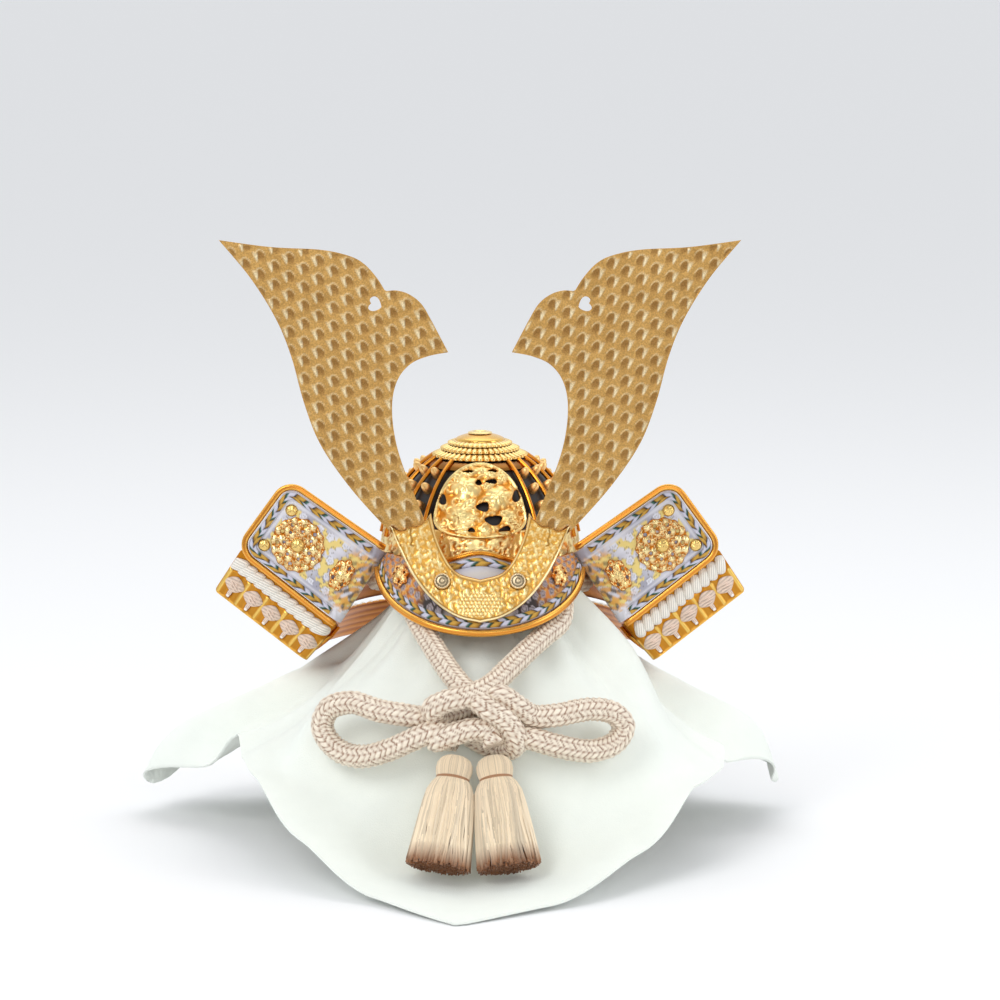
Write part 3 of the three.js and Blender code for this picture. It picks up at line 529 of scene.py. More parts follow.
def set_camera():
    data = bpy.data.cameras.new("camera")
    data.lens = CAMERA["lens"]
    data.sensor_width = CAMERA["film"]
    data.shift_x = CAMERA["shift"]
    data.clip_end = CAMERA["far"]
    camera = bpy.data.objects.new("camera", data)
    camera.location = CAMERA["place"]
    camera.rotation_euler = (math.radians(90 - CAMERA["down"]), 0, 0)
    bpy.context.scene.collection.objects.link(camera)
    bpy.context.scene.camera = camera


def softbox(name, place, size, power):
    """A soft rectangular light at a place, facing the middle of the object."""
    data = bpy.data.lights.new(name, "AREA")
    data.shape = "RECTANGLE"
    data.size, data.size_y = size
    data.energy = power
    light = bpy.data.objects.new(name, data)
    light.location = place
    x, y, z = np.array(MIDDLE) - np.array(place)
    light.rotation_euler = (math.atan2(math.hypot(x, y), -z), 0, math.atan2(y, x) - math.pi / 2)
    bpy.context.scene.collection.objects.link(light)


def set_surrounding():
    """A world that is pale behind the object and darker in front, so that the metal has something to
    reflect: its strength runs smoothly from To Min to To Max as y runs from From Min to From Max."""
    world = bpy.data.worlds.new("studio")
    world.use_nodes = True
    tree = world.node_tree
    y = made(tree, "SeparateXYZ", "Y", {"Vector": made(tree, "TexCoord", "Generated", {})})
    strength = made(tree, "MapRange", "Result", {"Value": y, **SURROUNDING}, interpolation_type="SMOOTHSTEP")
    feed(tree, tree.nodes["Background"], {"Strength": strength, "Color": (0.96, 0.975, 1.0, 1)})
    bpy.context.scene.world = world
    bpy.context.scene.view_settings.view_transform = "Standard"


def set_floor():
    mesh = bpy.data.meshes.new("floor")
    corners = [(x * FLOOR_REACH, y * FLOOR_REACH, 0) for x, y in ((-1, -1), (1, -1), (1, 1), (-1, 1))]
    mesh.from_pydata(corners, [], [(0, 1, 2, 3)])
    floor = bpy.data.objects.new("floor", mesh)
    bpy.context.scene.collection.objects.link(floor)
    material, tree, shader = new_material("floor_paper")
    feed(tree, shader, {"Base Color": (0.93, 0.935, 0.94, 1), "Roughness": 0.9})
    mesh.materials.append(material)


set_camera()
for name, looks in LIGHTS.items():
    softbox(name, *looks)
set_surrounding()
set_floor()


# ---------------------------------------------------------------- chin cord and tassels
CORD = {"diameter": 12.5, "radius": 6.0, "columns": 10, "facets": 4, "step": 0.68, "pitch": 3.0,
        "lean": 0.85, "thread": 0.9}

# The route of each half of the cord: from behind the neck, round inside the neck guard, down in front in
# a V, through the bow with its loop on the far side, to its tassel.
LEFT_CORD = [
    [-1.5, 59.5, 124], [-21, 56, 124], [-40, 43, 124.5], [-52, 24, 127], [-53, 3, 131], [-48.5, -15, 135],
    [-43, -30, 136], [-37, -44, 131], [-31.5, -57, 120.5], [-24.5, -73, 111.5], [-17, -90, 103],
    [-9.5, -104, 96], [-3, -112, 91.5], [4, -116, 86.5], [13, -116.5, 80.5], [17.5, -115, 72.5],
    [17, -111, 67], [11, -107, 64.5], [3, -105.5, 66.5], [-6, -103.5, 71.5], [-18, -103.5, 77.5],
    [-34, -106, 81], [-50, -102.5, 83], [-64, -97, 86], [-75.5, -93, 81.5], [-78.5, -93, 72.5],
    [-72, -97.5, 63], [-60, -103.5, 60], [-46, -108.5, 64], [-34, -112, 70], [-22, -112, 74.5],
    [-10, -109, 73.5], [1, -110.5, 73], [5.6, -114.5, 72], [7.2, -116.6, 68.6],
]
RIGHT_CORD = [
    [1.5, 59.5, 124], [21, 56, 124], [40, 43, 124.5], [52, 23, 126.5], [52.5, 4, 129.5], [48, -13, 132],
    [44, -29, 133], [42, -43, 127.5], [40.5, -53, 119], [32, -65, 113.5], [22.5, -79, 107.5],
    [13.5, -93, 101.5], [5, -105, 96], [-5, -112.5, 92.5], [-16, -115.5, 90.5], [-23.5, -112.5, 86],
    [-20, -106, 81], [-9, -102.5, 83], [2, -105, 88], [9.5, -110, 92], [17.5, -110.5, 87.5],
    [26, -108, 81.5], [38, -106, 81.5], [55, -99, 83], [67, -93.5, 79.5], [71.5, -92, 72.5],
    [67.5, -95, 65.5], [56, -101.5, 62.5], [40, -108.5, 66], [26, -111, 70.5], [15, -109, 72.5],
    [4, -113.5, 75.5], [-6, -116.5, 76], [-15, -116.2, 73], [-21.5, -112.5, 70], [-18.5, -106.5, 69.5],
    [-12.2, -109.5, 69.7],
]


def braided_cord(name, points):
    """A round braid: the radius swells in lumps, in columns round the cord whose lumps lean one way and
    then the other, so that each pair of columns makes a row of V shapes. A lump's place along its column
    is beat = along / pitch + lean. Gives the piece and its route in metres."""
    path = route(points, CORD["step"])
    side, up = frames_along(path)
    a = around(CORD["columns"] * CORD["facets"])[:, None]
    along = np.linspace(0, 1, len(path))[None, :] * np.linalg.norm(np.diff(path, axis=0), axis=1).sum()
    column = a / TAU * CORD["columns"]
    number = np.floor(column + 1e-6)
    across = column - number
    lean = np.where(number % 2 > 0, 1, -1) * (across - 0.5) * CORD["lean"]
    beat = along / CORD["pitch"] + lean + 0.25 * number
    lump = (np.abs(np.sin(math.pi * beat)) * np.sin(math.pi * (across * 0.8 + 0.1))) ** 0.7
    uneven = np.sin(np.floor(beat) * 12.9 + number * 78.2) * 43.7
    uneven = uneven - np.floor(uneven)
    radius = CORD["radius"] * (0.84 + (0.15 + 0.05 * uneven) * lump)
    rings = path + radius[..., None] * (side * np.cos(a)[..., None] + up * np.sin(a)[..., None])
    threads = 0.94 + 0.06 * np.sin(TAU * (along / CORD["thread"] + column * 2.5))
    # Painted light: the colour runs from painted shade in the crevices between the lumps to a painted
    # highlight on their tops, broken by the threads and varied at random.
    light = smooth(0.12, 0.6, lump) * threads * (0.84 + 0.16 * uneven)
    tint = mix(colour(146, 100, 70), colour(255, 244, 224), light)
    piece = ring_piece(name, "chin_cord", "chin_cord", rings, tint, path[0], path[-1],
                       outward=False, sharp=70)
    return piece, path * MM


# Each tassel hangs from a place beside the knot (its x), turned sideways by its spread, in radians.
TASSELS = {"left": (-11.6, 0.16, 11), "right": (6.3, -0.14, 12)}
TASSEL = {"strands": 380, "locks": 9, "steps": 13, "ends": 520, "end_radius": 14.0, "end_thick": 0.42,
          "end_level": -56.6, "flatness": 0.65, "lean": 0.49, "y": -116, "z": 62.7}
TASSEL_PROFILE = [(2.2, 0.2), (6.0, -1.0), (8.4, -4.4), (8.5, -8.6), (7.6, -12.0), (10.6, -16), (12.4, -25),
                  (13.9, -41), (15.2, -57.4)]
GOLDEN_ANGLE = 2.39996

# The turns round a tassel's neck: half-width, half-depth, level, thickness, points and colour. The first
# three, thin and dark, are a painted shadow line under the head; the rest are the binding thread.
NECK_BINDING_AND_SHADOW = [(7.9, 7.3, level, 0.5, 40, colour(176, 132, 96)) for level in (-13.2, -12.4, -11.6)]
NECK_BINDING_AND_SHADOW += [(7.5, 6.6, level, thick, 49, colour(214, 186, 158))
                 for level, thick in ((-11.6, 0.75), (-12.9, 0.8), (-14.2, 0.75))]


def tilted(u, v, angle):
    """The pair (u, v) turned by an angle."""
    c, s = math.cos(angle), math.sin(angle)
    return u * c - v * s, u * s + v * c


def tassel_place(points, x, spread):
    """Turns a tassel made along -Z about Y by its spread and forward by its lean, and moves it in place."""
    across, down = tilted(points[..., 0], points[..., 2], -spread)
    front, down = tilted(points[..., 1], down, -TASSEL["lean"])
    return np.stack([across, front, down], -1) + [x, TASSEL["y"], TASSEL["z"]]


def add_strands(skin, rings, tint):
    """Three-sided strands as (count, 3, steps, 3) points, each closed at its lower end."""
    count, _, steps = rings.shape[:3]
    offset = np.arange(count)[:, None, None] * 3 * steps
    sides = (grid_faces(3, steps, wrap=True)[None] + offset).reshape(-1, 4)
    cap = (np.array([[2, 1, 0]]) * steps + steps - 1 + offset).reshape(-1, 3)
    skin.add(rings, [sides, cap], tint)


def cut_ends(skin, draw, place):
    """The skirt's cut face: short strands that stand a little proud, set evenly within the skirt's end."""
    count = TASSEL["ends"]
    share, turn = np.sqrt((np.arange(count) + 0.5) / count), np.arange(count) * GOLDEN_ANGLE
    foot = polar(TASSEL["end_radius"] * share, turn, 0, TASSEL["flatness"])[:, :2]
    a = around(3)
    rim = np.stack([np.cos(a), np.sin(a)], -1) * TASSEL["end_thick"]
    low = TASSEL["end_level"] - draw.uniform(0, 1.7, count)
    levels = np.stack([low + 5, low], -1)
    flat = foot[:, None, None] + rim[None, :, None] + draw.normal(0, 0.12, (count, 1, 2, 2))
    rings = np.concatenate([flat, np.broadcast_to(levels[:, None, :, None], (count, 3, 2, 1))], -1)
    tint = colour(150, 98, 60) * draw.uniform(0.6, 1.15, count)[:, None, None, None] + np.zeros(rings.shape)
    add_strands(skin, place(rings), np.clip(tint, 0, 1))


def tassel(side):
    """Silk strands that run over a round head, under a bound neck and out into a skirt round a core, which
    is painted dark in the skirt as painted shade among the strands; a strand's distance from the middle
    follows the profile, swelling a little in each lock."""
    x, spread, seed = TASSELS[side]
    draw = np.random.default_rng(seed)
    count, steps = TASSEL["strands"], TASSEL["steps"]
    station = np.linspace(0, len(TASSEL_PROFILE) - 1, steps)
    line = catmull(TASSEL_PROFILE, station)
    turn = around(count) + draw.uniform(-0.01, 0.01, count)
    deep = np.where(np.arange(count) % 3 == 0, 0.84, 1.0) * draw.uniform(0.93, 1.0, count)
    lock = 1 + 0.05 * np.cos(turn * TASSEL["locks"] + x)
    free = smooth(4, 8, station)[None, :]
    swing = (turn[:, None] + free * (draw.normal(0, 0.1, count)[:, None]
             + 0.07 * np.sin(station[None, :] * 2.1 + draw.uniform(0, TAU, (count, 1)))
             + 0.05 * np.sin(station[None, :] * 1.3 + turn[:, None] * 4)))
    r = line[None, :, 0] * (1 + free * (deep * lock - 1)[:, None])
    drop = line[None, :, 1] + 0 * r
    drop[:, -1] += draw.uniform(-0.4, 2.6, count)
    centre = polar(r, swing, drop, (1 - 0.28 * free) * 0.9)
    wide = (0.62 + 0.026 * np.arange(steps))[:, None]
    out, round_way = (polar(1, way, 0)[:, None] for way in (swing, swing + math.pi / 2))
    a = around(3)[None, :, None, None]
    rings = centre[:, None] + np.cos(a) * out * 0.5 + np.sin(a) * round_way * wide
    shade = draw.uniform(0.5, 1.0, count) ** 0.7
    tint = mix(colour(255, 236, 206), colour(152, 100, 62), smooth(0.925, 0.99, station / station[-1]))

    def place(points):
        return tassel_place(points, x, spread)

    skin = Skin()
    add_strands(skin, place(rings), np.repeat((tint[None] * shade[:, None, None])[:, None], 3, axis=1))
    for wide, deep, level, thick, count, shade in NECK_BINDING_AND_SHADOW:
        skin.tube(place(polar(wide, np.linspace(0, TAU, count), level, deep / wide)), thick, 6, shade)
    core = line[::2] * [0.88, 0.985]
    pinch = 1 - 0.34 * smooth(4, 8, station[::2])
    body = polar(core[..., 0], around(48)[:, None], core[..., 1], pinch)
    # The core is pale under the head and dark in the skirt: painted shade among the strands.
    inside = mix(colour(176, 138, 104), colour(84, 54, 36), smooth(6, 8, station[::2]))[None] + 0 * body
    skin.capped(place(body), *place(np.array([[0, 0, -0.3], [0, 0, -55.8]])), inside)
    cut_ends(skin, draw, place)
    return skin.make(f"tassel_{side}_silk", "tassel_silk", f"tassel_{side}", outward=False)


for half, length, points in (("left", 477, LEFT_CORD), ("right", 489, RIGHT_CORD)):
    cord, path = braided_cord(f"chin_cord_{half}", points)
    strands = tassel(half)


# ---------------------------------------------------------------- cloth and stand
# Each fold: its angle round from the front, then radius and height at shoulder, middle, knee and hem.
FOLDS = [
    (-180, (47, 116), (92, 72), (124, 14), (200, 2)),
    (-155, (47, 116), (95, 75), (125, 34), (150, 22)),
    (-130, (46, 116), (85, 72), (110, 48), (130, 42)),
    (-104, (47, 117), (112, 79), (176, 47), (190, 17)),
    (-78, (48, 117), (78, 82), (106, 62), (127, 56)),
    (-64, (51, 120), (84, 84), (112, 60), (134, 50)),
    (-52, (52, 118), (103, 73), (124, 53), (142, 46)),
    (-34, (54, 118), (97, 77), (122, 34), (158, 25)),
    (-18, (56, 118), (95, 80), (123, 16), (174, 5)),
    (-3, (56, 118), (94, 80), (122, 10), (201, 2)),
    (12, (56, 118), (95, 80), (123, 14), (180, 4)),
    (30, (54, 119), (96, 77), (122, 30), (158, 20)),
    (50, (52, 120), (102, 72), (123, 51), (140, 42)),
    (64, (58, 130), (88, 104), (113, 64), (138, 46)),
    (78, (48, 117), (78, 82), (106, 62), (127, 54)),
    (104, (47, 117), (108, 79), (160, 52), (172, 18)),
    (130, (46, 116), (85, 72), (110, 48), (130, 42)),
    (155, (47, 116), (95, 75), (125, 34), (150, 22)),
    (180, (47, 116), (92, 72), (124, 14), (200, 2)),
]
PAD_STATIONS = [(0, 199.1), (14, 196.6), (22, 190), (27, 172), (33, 150)]
CLOTH = {"thick": 1.1, "edge": 440, "tucks": 18, "tuck_depth": 10, "waves": 21, "wave_depth": 11,
         "ridge": 5.5, "hollow": 3.5, "tip": 8}


def cloth_surface(turns, stations):
    """Radius and height of the cloth: at each angle a curve runs out over the pad and down through the
    shoulder, middle, knee and hem, which pass from fold to fold by 0.65 t + 0.35 (3t^2 - 2t^3). The hem
    is drawn out to a tip in front."""
    angle = np.array([f[0] for f in FOLDS], float)
    rows = np.array([f[1:] for f in FOLDS], float)
    i = np.clip(np.searchsorted(angle, turns, side="right") - 1, 0, len(angle) - 2)
    t = (turns - angle[i]) / (angle[i + 1] - angle[i])
    t = (0.65 * t + 0.35 * smooth(0, 1, t))[:, None, None]
    low = rows[i] + (rows[i + 1] - rows[i]) * t
    low[:, -1, 0] += CLOTH["tip"] * np.exp(-np.abs(turns + 3) / 4)
    pad = np.broadcast_to(np.array(PAD_STATIONS, float), (len(turns), 5, 2))
    return catmull(np.concatenate([pad, low], axis=1), stations)


def crepe_cloth():
    """The draped square: the folds' surface with soft creases that run down it, a ridge on each side, a
    hollow in front, tucks gathered under the helmet and waves towards the sides' hem. Its top is smooth."""
    turns = np.linspace(-180, 180, 217)[:-1]
    stations = np.concatenate([np.linspace(0.02, 4, 14, endpoint=False), np.linspace(4, 8, 54)])
    rz = cloth_surface(turns, stations)
    a = np.radians(turns)[:, None]
    base = polar(rz[..., 0], a, rz[..., 1])
    along_row = np.gradient(base, axis=1)
    round_row = np.roll(base, -1, 0) - np.roll(base, 1, 0)
    normal = unit(np.cross(round_row, along_row))
    normal *= np.where(normal[..., 2:] < 0, -1, 1)
    away = np.abs(turns)[:, None]
    behind = smooth(30, 75, away)
    crease = (0.9 * np.sin(9 * a + 2.1 * np.sin(stations * 1.3)) + 0.7 * np.sin(17 * a - 1.4 * stations)
              + 0.35 * np.sin(31 * a + 2.3 * stations)) * smooth(4.6, 6.2, stations)
    crease = np.maximum(crease * (0.35 + 0.65 * behind) * (1 - 0.6 * smooth(7.3, 8, stations)), -0.9)
    ridge = np.exp(-np.abs(away - 50) / 4.5) * between(stations, 3.9, 4.8, 6.4, 7.4)
    hollow = bell(turns, 9)[:, None] * between(stations, 3.4, 4.2, 4.7, 5.5)
    tucks = (0.5 - 0.5 * np.cos(CLOTH["tucks"] * a + 0.8 * np.sin(3 * a))) * (0.3 + 1.05 * behind)
    tucks = tucks * (1 - bell(turns - 64, 10))[:, None] * between(stations, 2.6, 3.6, 5.3, 6.1)
    waves = 0.5 - 0.5 * np.cos(CLOTH["waves"] * a + 1.1 * np.sin(2 * a) + 0.5 * stations)
    waves = waves * smooth(58, 84, away) * smooth(5.2, 6.6, stations)
    lift = 0.9 * crease + CLOTH["ridge"] * ridge - CLOTH["hollow"] * hollow
    lift = lift - CLOTH["tuck_depth"] * tucks - CLOTH["wave_depth"] * waves
    top = base + normal * (lift[..., None] - 0.2)
    top[..., 2] = np.maximum(top[..., 2], CLOTH["thick"] + 0.2)
    under = top - normal * CLOTH["thick"]
    under[..., 2] = np.maximum(under[..., 2], 0.1)
    faces = grid_faces(*rz.shape[:2], wrap=True)[:, ::-1]
    piece = wall_piece("crepe_cloth_drape", "crepe_cloth", "stand_cloth", top, under, faces,
                       colour(244, 249, 242), outward=False, sharp=80)


def turned_piece(name, finish, replaces, profile, sides, tint, sharp=50):
    """A lathe shape: the profile (radius, height) carried round the upright axis, closed at both ends."""
    line = np.asarray(profile, float)
    rings = polar(line[:, 0], around(sides)[:, None], line[:, 1])
    ring_piece(name, finish, replaces, rings, tint, [0, 0, line[0, 1]], [0, 0, line[-1, 1]], sharp=sharp)


STAND_PROFILE = [(58, 0.05), (60, 1.5), (60, 7), (58, 9), (12, 10), (9, 14), (9, 170), (20, 180), (20, 187),
                 (14, 194), (5, 197)]
crepe_cloth()
turned_piece("stand_core_wood", "stand_wood", "stand_core", STAND_PROFILE, 64, colour(205, 172, 128), 30)


# ---------------------------------------------------------------- bowl
BOWL = {"base": 144, "wide": 50, "deep": 54, "high": 57, "wall": 1.4}
RIBS = {"first": 36, "step": 18, "count": 17, "radius": 1.15, "off": 1.9, "foot": 12, "head": 62}
BOSSES = {"rows": (22, 32, 42, 52), "radius": 2.8, "length": 5.6}
BAND = {"low": 1, "high": 21, "off": 0.9, "relief": 1.1, "rim": 0.65}
COLLAR = {"low": 56, "high": 62.5, "middle": 59.2, "half": 3.3, "bumps": 60}


def on_bowl(turn, up, off=0.0):
    """A point of the bowl: turn degrees round from the front, up degrees from its base, off millimetres
    out."""
    t, u = np.radians(turn), np.radians(up)
    return np.stack(np.broadcast_arrays((BOWL["wide"] + off) * np.cos(u) * np.sin(t),
                                        -(BOWL["deep"] + off) * np.cos(u) * np.cos(t),
                                        BOWL["base"] + (BOWL["high"] + off) * np.sin(u)), -1)


def relief_shade_and_highlight(height, low=HOLLOW_SHADE_GOLD, high=PALE_GOLD, start=0.05, end=0.75):
    """Painted shade and highlight on a relief whose height runs from 0 to 1: deep gold shades its hollows
    and pale gold lights its tops.
    """
    return mix(low, high, smooth(start, end, height))


def bullet(skin, foot, out, radius, length, tint, sides=12):
    """A round-nosed stud: radius * sqrt(1 - (rise / length) ^ 2.4) along its axis."""
    rise = np.linspace(-0.6, length, 9)
    r = radius * np.sqrt(np.clip(1 - (np.maximum(rise, 0) / length) ** 2.4, 0.0004, 1))
    side = unit(np.cross(out, [0.01, 0.02, 1.0]))
    a = around(sides)[:, None, None]
    rings = foot + out * rise[:, None] + r[:, None] * (side * np.cos(a) + np.cross(side, out) * np.sin(a))
    skin.capped(rings, rings[:, 0].mean(0), rings[:, -1].mean(0), tint)


def bowl():
    """The dark shell, and the round-nosed studs in rows between its ribs."""
    turns, ups = np.linspace(0, 360, 73)[:-1, None], np.linspace(0, 89, 20)[None, :]
    faces = grid_faces(72, 20, wrap=True)
    wall_piece("bowl_lacquer", "dark_bowl", "bowl", on_bowl(turns, ups), on_bowl(turns, ups, -BOWL["wall"]),
               faces, DARK, colour(110, 84, 52), sharp=50)
    bosses = Skin()
    for column in range(RIBS["count"] - 1):
        turn = RIBS["first"] + RIBS["step"] * (column + 0.5)
        for row, up in enumerate(BOSSES["rows"]):
            foot = on_bowl(turn, up)
            out = unit(on_bowl(turn, up, 1) - foot)
            bullet(bosses, foot, out, BOSSES["radius"] * (1 - 0.05 * row), BOSSES["length"], BOSS_GOLD)
    bosses.make("bowl_bosses", "stand_gilt", "bowl", sharp=50)


def rib_cage():
    """Round ribs that run up the bowl from its foot to the crown."""
    ribs = Skin()
    for i in range(RIBS["count"]):
        turn, ups = RIBS["first"] + RIBS["step"] * i, np.linspace(RIBS["foot"], RIBS["head"], 22)
        ribs.tube(on_bowl(turn, ups, RIBS["off"]), RIBS["radius"], 10, DEEP_GOLD)
    ribs.make("bowl_ribs", "deep_gilt", "rib_cage", sharp=30)


def waist_band():
    """A band round the bowl's foot with scrolls and scattered leaves between two half-round rims."""
    low, high, rim = BAND["low"], BAND["high"], BAND["rim"]
    turns, ups = np.linspace(-180, 180, 361)[:-1, None], np.linspace(low, high, 24)[None, :]
    flat = np.stack([(turns * 0.92 + 0 * ups).ravel(), (ups + 0 * turns).ravel()], -1)
    height = 0.75 * scrolls(flat, scattered((-166, 2), (166, 19), 4.6, 52), 2.5, 0.55, 1.1)
    draw = np.random.default_rng(53)
    for x, base, _, _ in scattered((-166, 3), (166, 16), 5.6, 54, 0.4):
        near = np.abs(flat[:, 0] - x) < 8
        height[near] = np.maximum(height[near], draw.uniform(0.7, 1.0) * leaf(
            flat[near], x, base, draw.uniform(5, 8), draw.uniform(1.6, 2.3), draw.uniform(0.4, 2.7)))
    edge = np.minimum(flat[:, 1] - low, high - flat[:, 1])
    height = np.where(edge < 2 * rim, 0.75 * rounded((edge - rim) / rim), height).reshape(360, 24)
    front = on_bowl(turns, ups, BAND["off"] + BAND["relief"] * height)
    # Painted shade in the relief's hollows and painted highlight on its tops.
    tint = relief_shade_and_highlight(height.ravel(), colour(218, 134, 40), end=0.6)
    wall_piece("waist_band", "bright_gilt", "rib_cage", front, on_bowl(turns, ups, 0.35) + 0 * front,
               grid_faces(360, 24, wrap=True), tint, outward=False)


def crown_collar():
    """A beaded ring where the ribs end, under the crown's petals."""
    turns, ups = np.linspace(0, 360, 121)[:-1, None], np.linspace(COLLAR["low"], COLLAR["high"], 7)[None, :]
    beads = 0.75 + 0.25 * np.cos(np.radians(turns) * COLLAR["bumps"])
    swell = rounded((ups - COLLAR["middle"]) / COLLAR["half"]) * beads
    wall_piece("crown_collar", "crown_gilt", "rib_cage", on_bowl(turns, ups, 0.8 + 0.9 * swell),
               on_bowl(turns, ups, 0.3 + 0 * turns), grid_faces(120, 7, wrap=True), colour(150, 100, 44),
               outward=False)


PLATE = {"low": 16.5, "widest": 32, "high": 60, "half": 30, "back": 2.0, "front": 2.4}


def plate_half_width(up):
    """Half of the egg's width at a height, in degrees round the bowl: half * sqrt(1 - |t| ^ n), with
    n = 2.9 above the widest place and 4 below it."""
    above = up > PLATE["widest"]
    t = np.where(above, (up - PLATE["widest"]) / (PLATE["high"] - PLATE["widest"]),
                 (PLATE["widest"] - up) / (PLATE["widest"] - PLATE["low"]))
    return PLATE["half"] * np.sqrt(np.clip(1 - np.abs(t) ** np.where(above, 2.9, 4), 0, 1))


def on_plate(flat, off):
    """The plate's flat pattern, in millimetres across and up, laid on the bowl."""
    up = np.degrees(flat[:, 1] / BOWL["high"])
    turn = np.degrees(flat[:, 0] / (BOWL["wide"] * np.cos(np.radians(up))))
    return on_bowl(turn, up, off)


def plate_flat(turn, up):
    """The flat place of a point at turn and up degrees on the bowl."""
    turn, up = math.radians(turn), math.radians(up)
    return np.array([turn * BOWL["wide"] * math.cos(up), up * BOWL["high"]])


# Flowers: turn, up, radius, petals. Holes: turn, up, half-width, half-height. Leaves: turn, up, length,
# width, angle. Turn and up are degrees on the bowl, and the rest is in millimetres and radians.
PLATE_FLOWERS = [
    (-11, 43.5, 8.0, 5), (12.5, 37.5, 7.6, 6), (-12.5, 27.5, 7.4, 6), (19, 27, 5.4, 5), (2, 54.5, 4.8, 6),
    (3.5, 20.5, 4.6, 5), (-24, 21.5, 4.4, 5),
]
PLATE_HOLES = [
    (9.5, 47.5, 2.9, 1.7), (-11, 54, 2.6, 1.3), (2, 33, 3.1, 2.5), (8.5, 26, 4.2, 2.5), (-26, 36, 1.8, 3.0),
    (26, 38, 1.8, 3.4), (-1, 47, 1.5, 2.0), (15, 20.5, 3.0, 2.3), (12, 54.5, 2.4, 1.3), (-5, 21, 1.7, 1.3),
]
PLATE_LEAVES = [
    (-20, 46, 9, 2.9, 1.2), (-3, 37, 9, 3.0, -2.4), (3, 42.5, 9, 2.8, 0.9), (20, 46.5, 8, 2.6, 1.9),
    (-23, 30, 9, 2.9, 1.9), (-2, 28, 9, 2.8, -2.7), (13, 30.5, 8, 2.6, -0.6), (-15, 20, 9, 2.8, 0.2),
    (-15, 51, 8, 2.3, 0.5), (14, 50, 8, 2.3, 2.5), (26, 31.5, 8, 2.5, 1.4), (24, 21, 8, 2.6, 2.6),
]


def front_plate():
    """Egg-shaped pierced plate with raised peonies, leaves and curling stems."""
    ups = PLATE["low"] + (PLATE["high"] - PLATE["low"]) * (1 - np.cos(np.linspace(0, math.pi, 60))) / 2
    half = plate_half_width(ups)
    right = np.array([plate_flat(h, u) for h, u in zip(half, ups)])
    left = np.array([plate_flat(-h, u) for h, u in zip(half, ups)])[::-1]
    outline = np.vstack([right, left[1:-1]])
    holes = [(plate_flat(turn, up), wide, tall) for turn, up, wide, tall in PLATE_HOLES]

    def inside(points):
        distance = outline_distance(points, outline)
        for centre, wide, tall in holes:
            across, up = ((points - centre) / [wide, tall]).T
            wobble = 1 + 0.12 * np.cos(3 * np.arctan2(up, across) + wide)
            distance = np.minimum(distance, (np.hypot(across, up) - wobble) * min(wide, tall))
        return distance

    flat, faces, depth = clipped_grid(outline.min(0) - 0.5, outline.max(0) + 0.5, 0.41, inside)
    height = 0.5 * scrolls(flat, scattered(outline.min(0), outline.max(0), 7.4, 4), 3.8, 1.05, 1.1)
    for turn, up, length, width, angle in PLATE_LEAVES:
        x, y = plate_flat(turn, up)
        height = np.maximum(height, 0.95 * leaf(flat, x, y, length, width, angle))
    for turn, up, radius, count in PLATE_FLOWERS:
        x, y = plate_flat(turn, up)
        height = np.maximum(height, (radius / 5.2) * petals(flat, x, y, radius, count, 0.3 * up))
    rim = rounded((outline_distance(flat, outline) - 0.7) / 0.8)
    height = np.maximum(height, 0.9 * rim)
    height *= smooth(0, 0.5, depth) * 0.5 + 0.5
    # Painted shade in the relief's hollows and painted highlight on its tops.
    tint = relief_shade_and_highlight(height, colour(232, 156, 60), colour(255, 230, 160), 0.0, 0.8)
    front = on_plate(flat, PLATE["front"] + 2.0 * height)
    wall_piece("front_plate_peonies", "bright_gilt", "front_plate", front, on_plate(flat, PLATE["back"]),
               faces, tint, sharp=75)


# ---------------------------------------------------------------- crown finial
def petal_ring(name, outer, inner, thick, count, replaces, tips=0.05):
    """A dished ring of rounded petals. Outer and inner are (radius, height); each petal is arched across
    and its tip is round: radius * (1 + tips * (|cos| - 1)), with a bead row half way in."""
    turns = around(count * 8)[:, None]
    v = np.linspace(0, 1, 12)[None, :]
    wave = np.abs(np.cos(turns * count / 2))
    r = (outer[0] + (inner[0] - outer[0]) * v) * (1 + tips * (wave**0.7 - 1) * (1 - v) ** 2)
    z = outer[1] + (inner[1] - outer[1]) * v
    arch = 0.5 * wave**0.8 * np.sin(math.pi * np.clip(v * 0.86 + 0.14, 0, 1)) ** 0.5
    height = np.maximum(arch, 0.5 * bell(v - 0.62, 0.1) * np.abs(np.cos(turns * count)) ** 0.7)
    top, under = polar(r + 0.25 * height, turns, z + thick - 0.35 + height * 0.8), polar(r, turns, z)
    # Painted shade between the petals and painted highlight on their tops.
    wall_piece(name, "crown_gilt", replaces, top, under, grid_faces(count * 8, 12, wrap=True),
               relief_shade_and_highlight(height.ravel(), colour(240, 190, 102), end=0.5), sharp=75)


def crown():
    petal_ring("crown_petals_wide", (24.6, 196.2), (14, 200.2), 1.2, 44, "crown_petals_lower")
    petal_ring("crown_petals_between", (20.4, 199.4), (12.6, 202.2), 1.1, 40, "crown_petals_middle")
    petal_ring("crown_rope_ring", (16.6, 202.2), (12.6, 203.5), 1.0, 36, "crown_petals_upper", 0.02)
    dome = [(12.6, 203.9), (12.2, 205), (9.6, 206.2), (7.3, 206.9), (6.2, 207.15)]
    bell_shape = [(4, 201.6), (4, 204), (12.2, 203.7), *catmull(dome, np.linspace(0, 4, 25))]
    turned_piece("crown_bell", "crown_gilt", "crown_dome", bell_shape, 72, GOLD)
    mouth = [(5.9, 207.3), (6.3, 207.6), (6.1, 208.0), (5.2, 208.35), (4.2, 208.5), (3.5, 208.4),
             (3.0, 207.95), (1.2, 207.8), (0.7, 208.1), (0.15, 208.5)]
    turned_piece("crown_mouth_ring", "crown_gilt", "crown_cap", mouth, 56, PALE_GOLD)


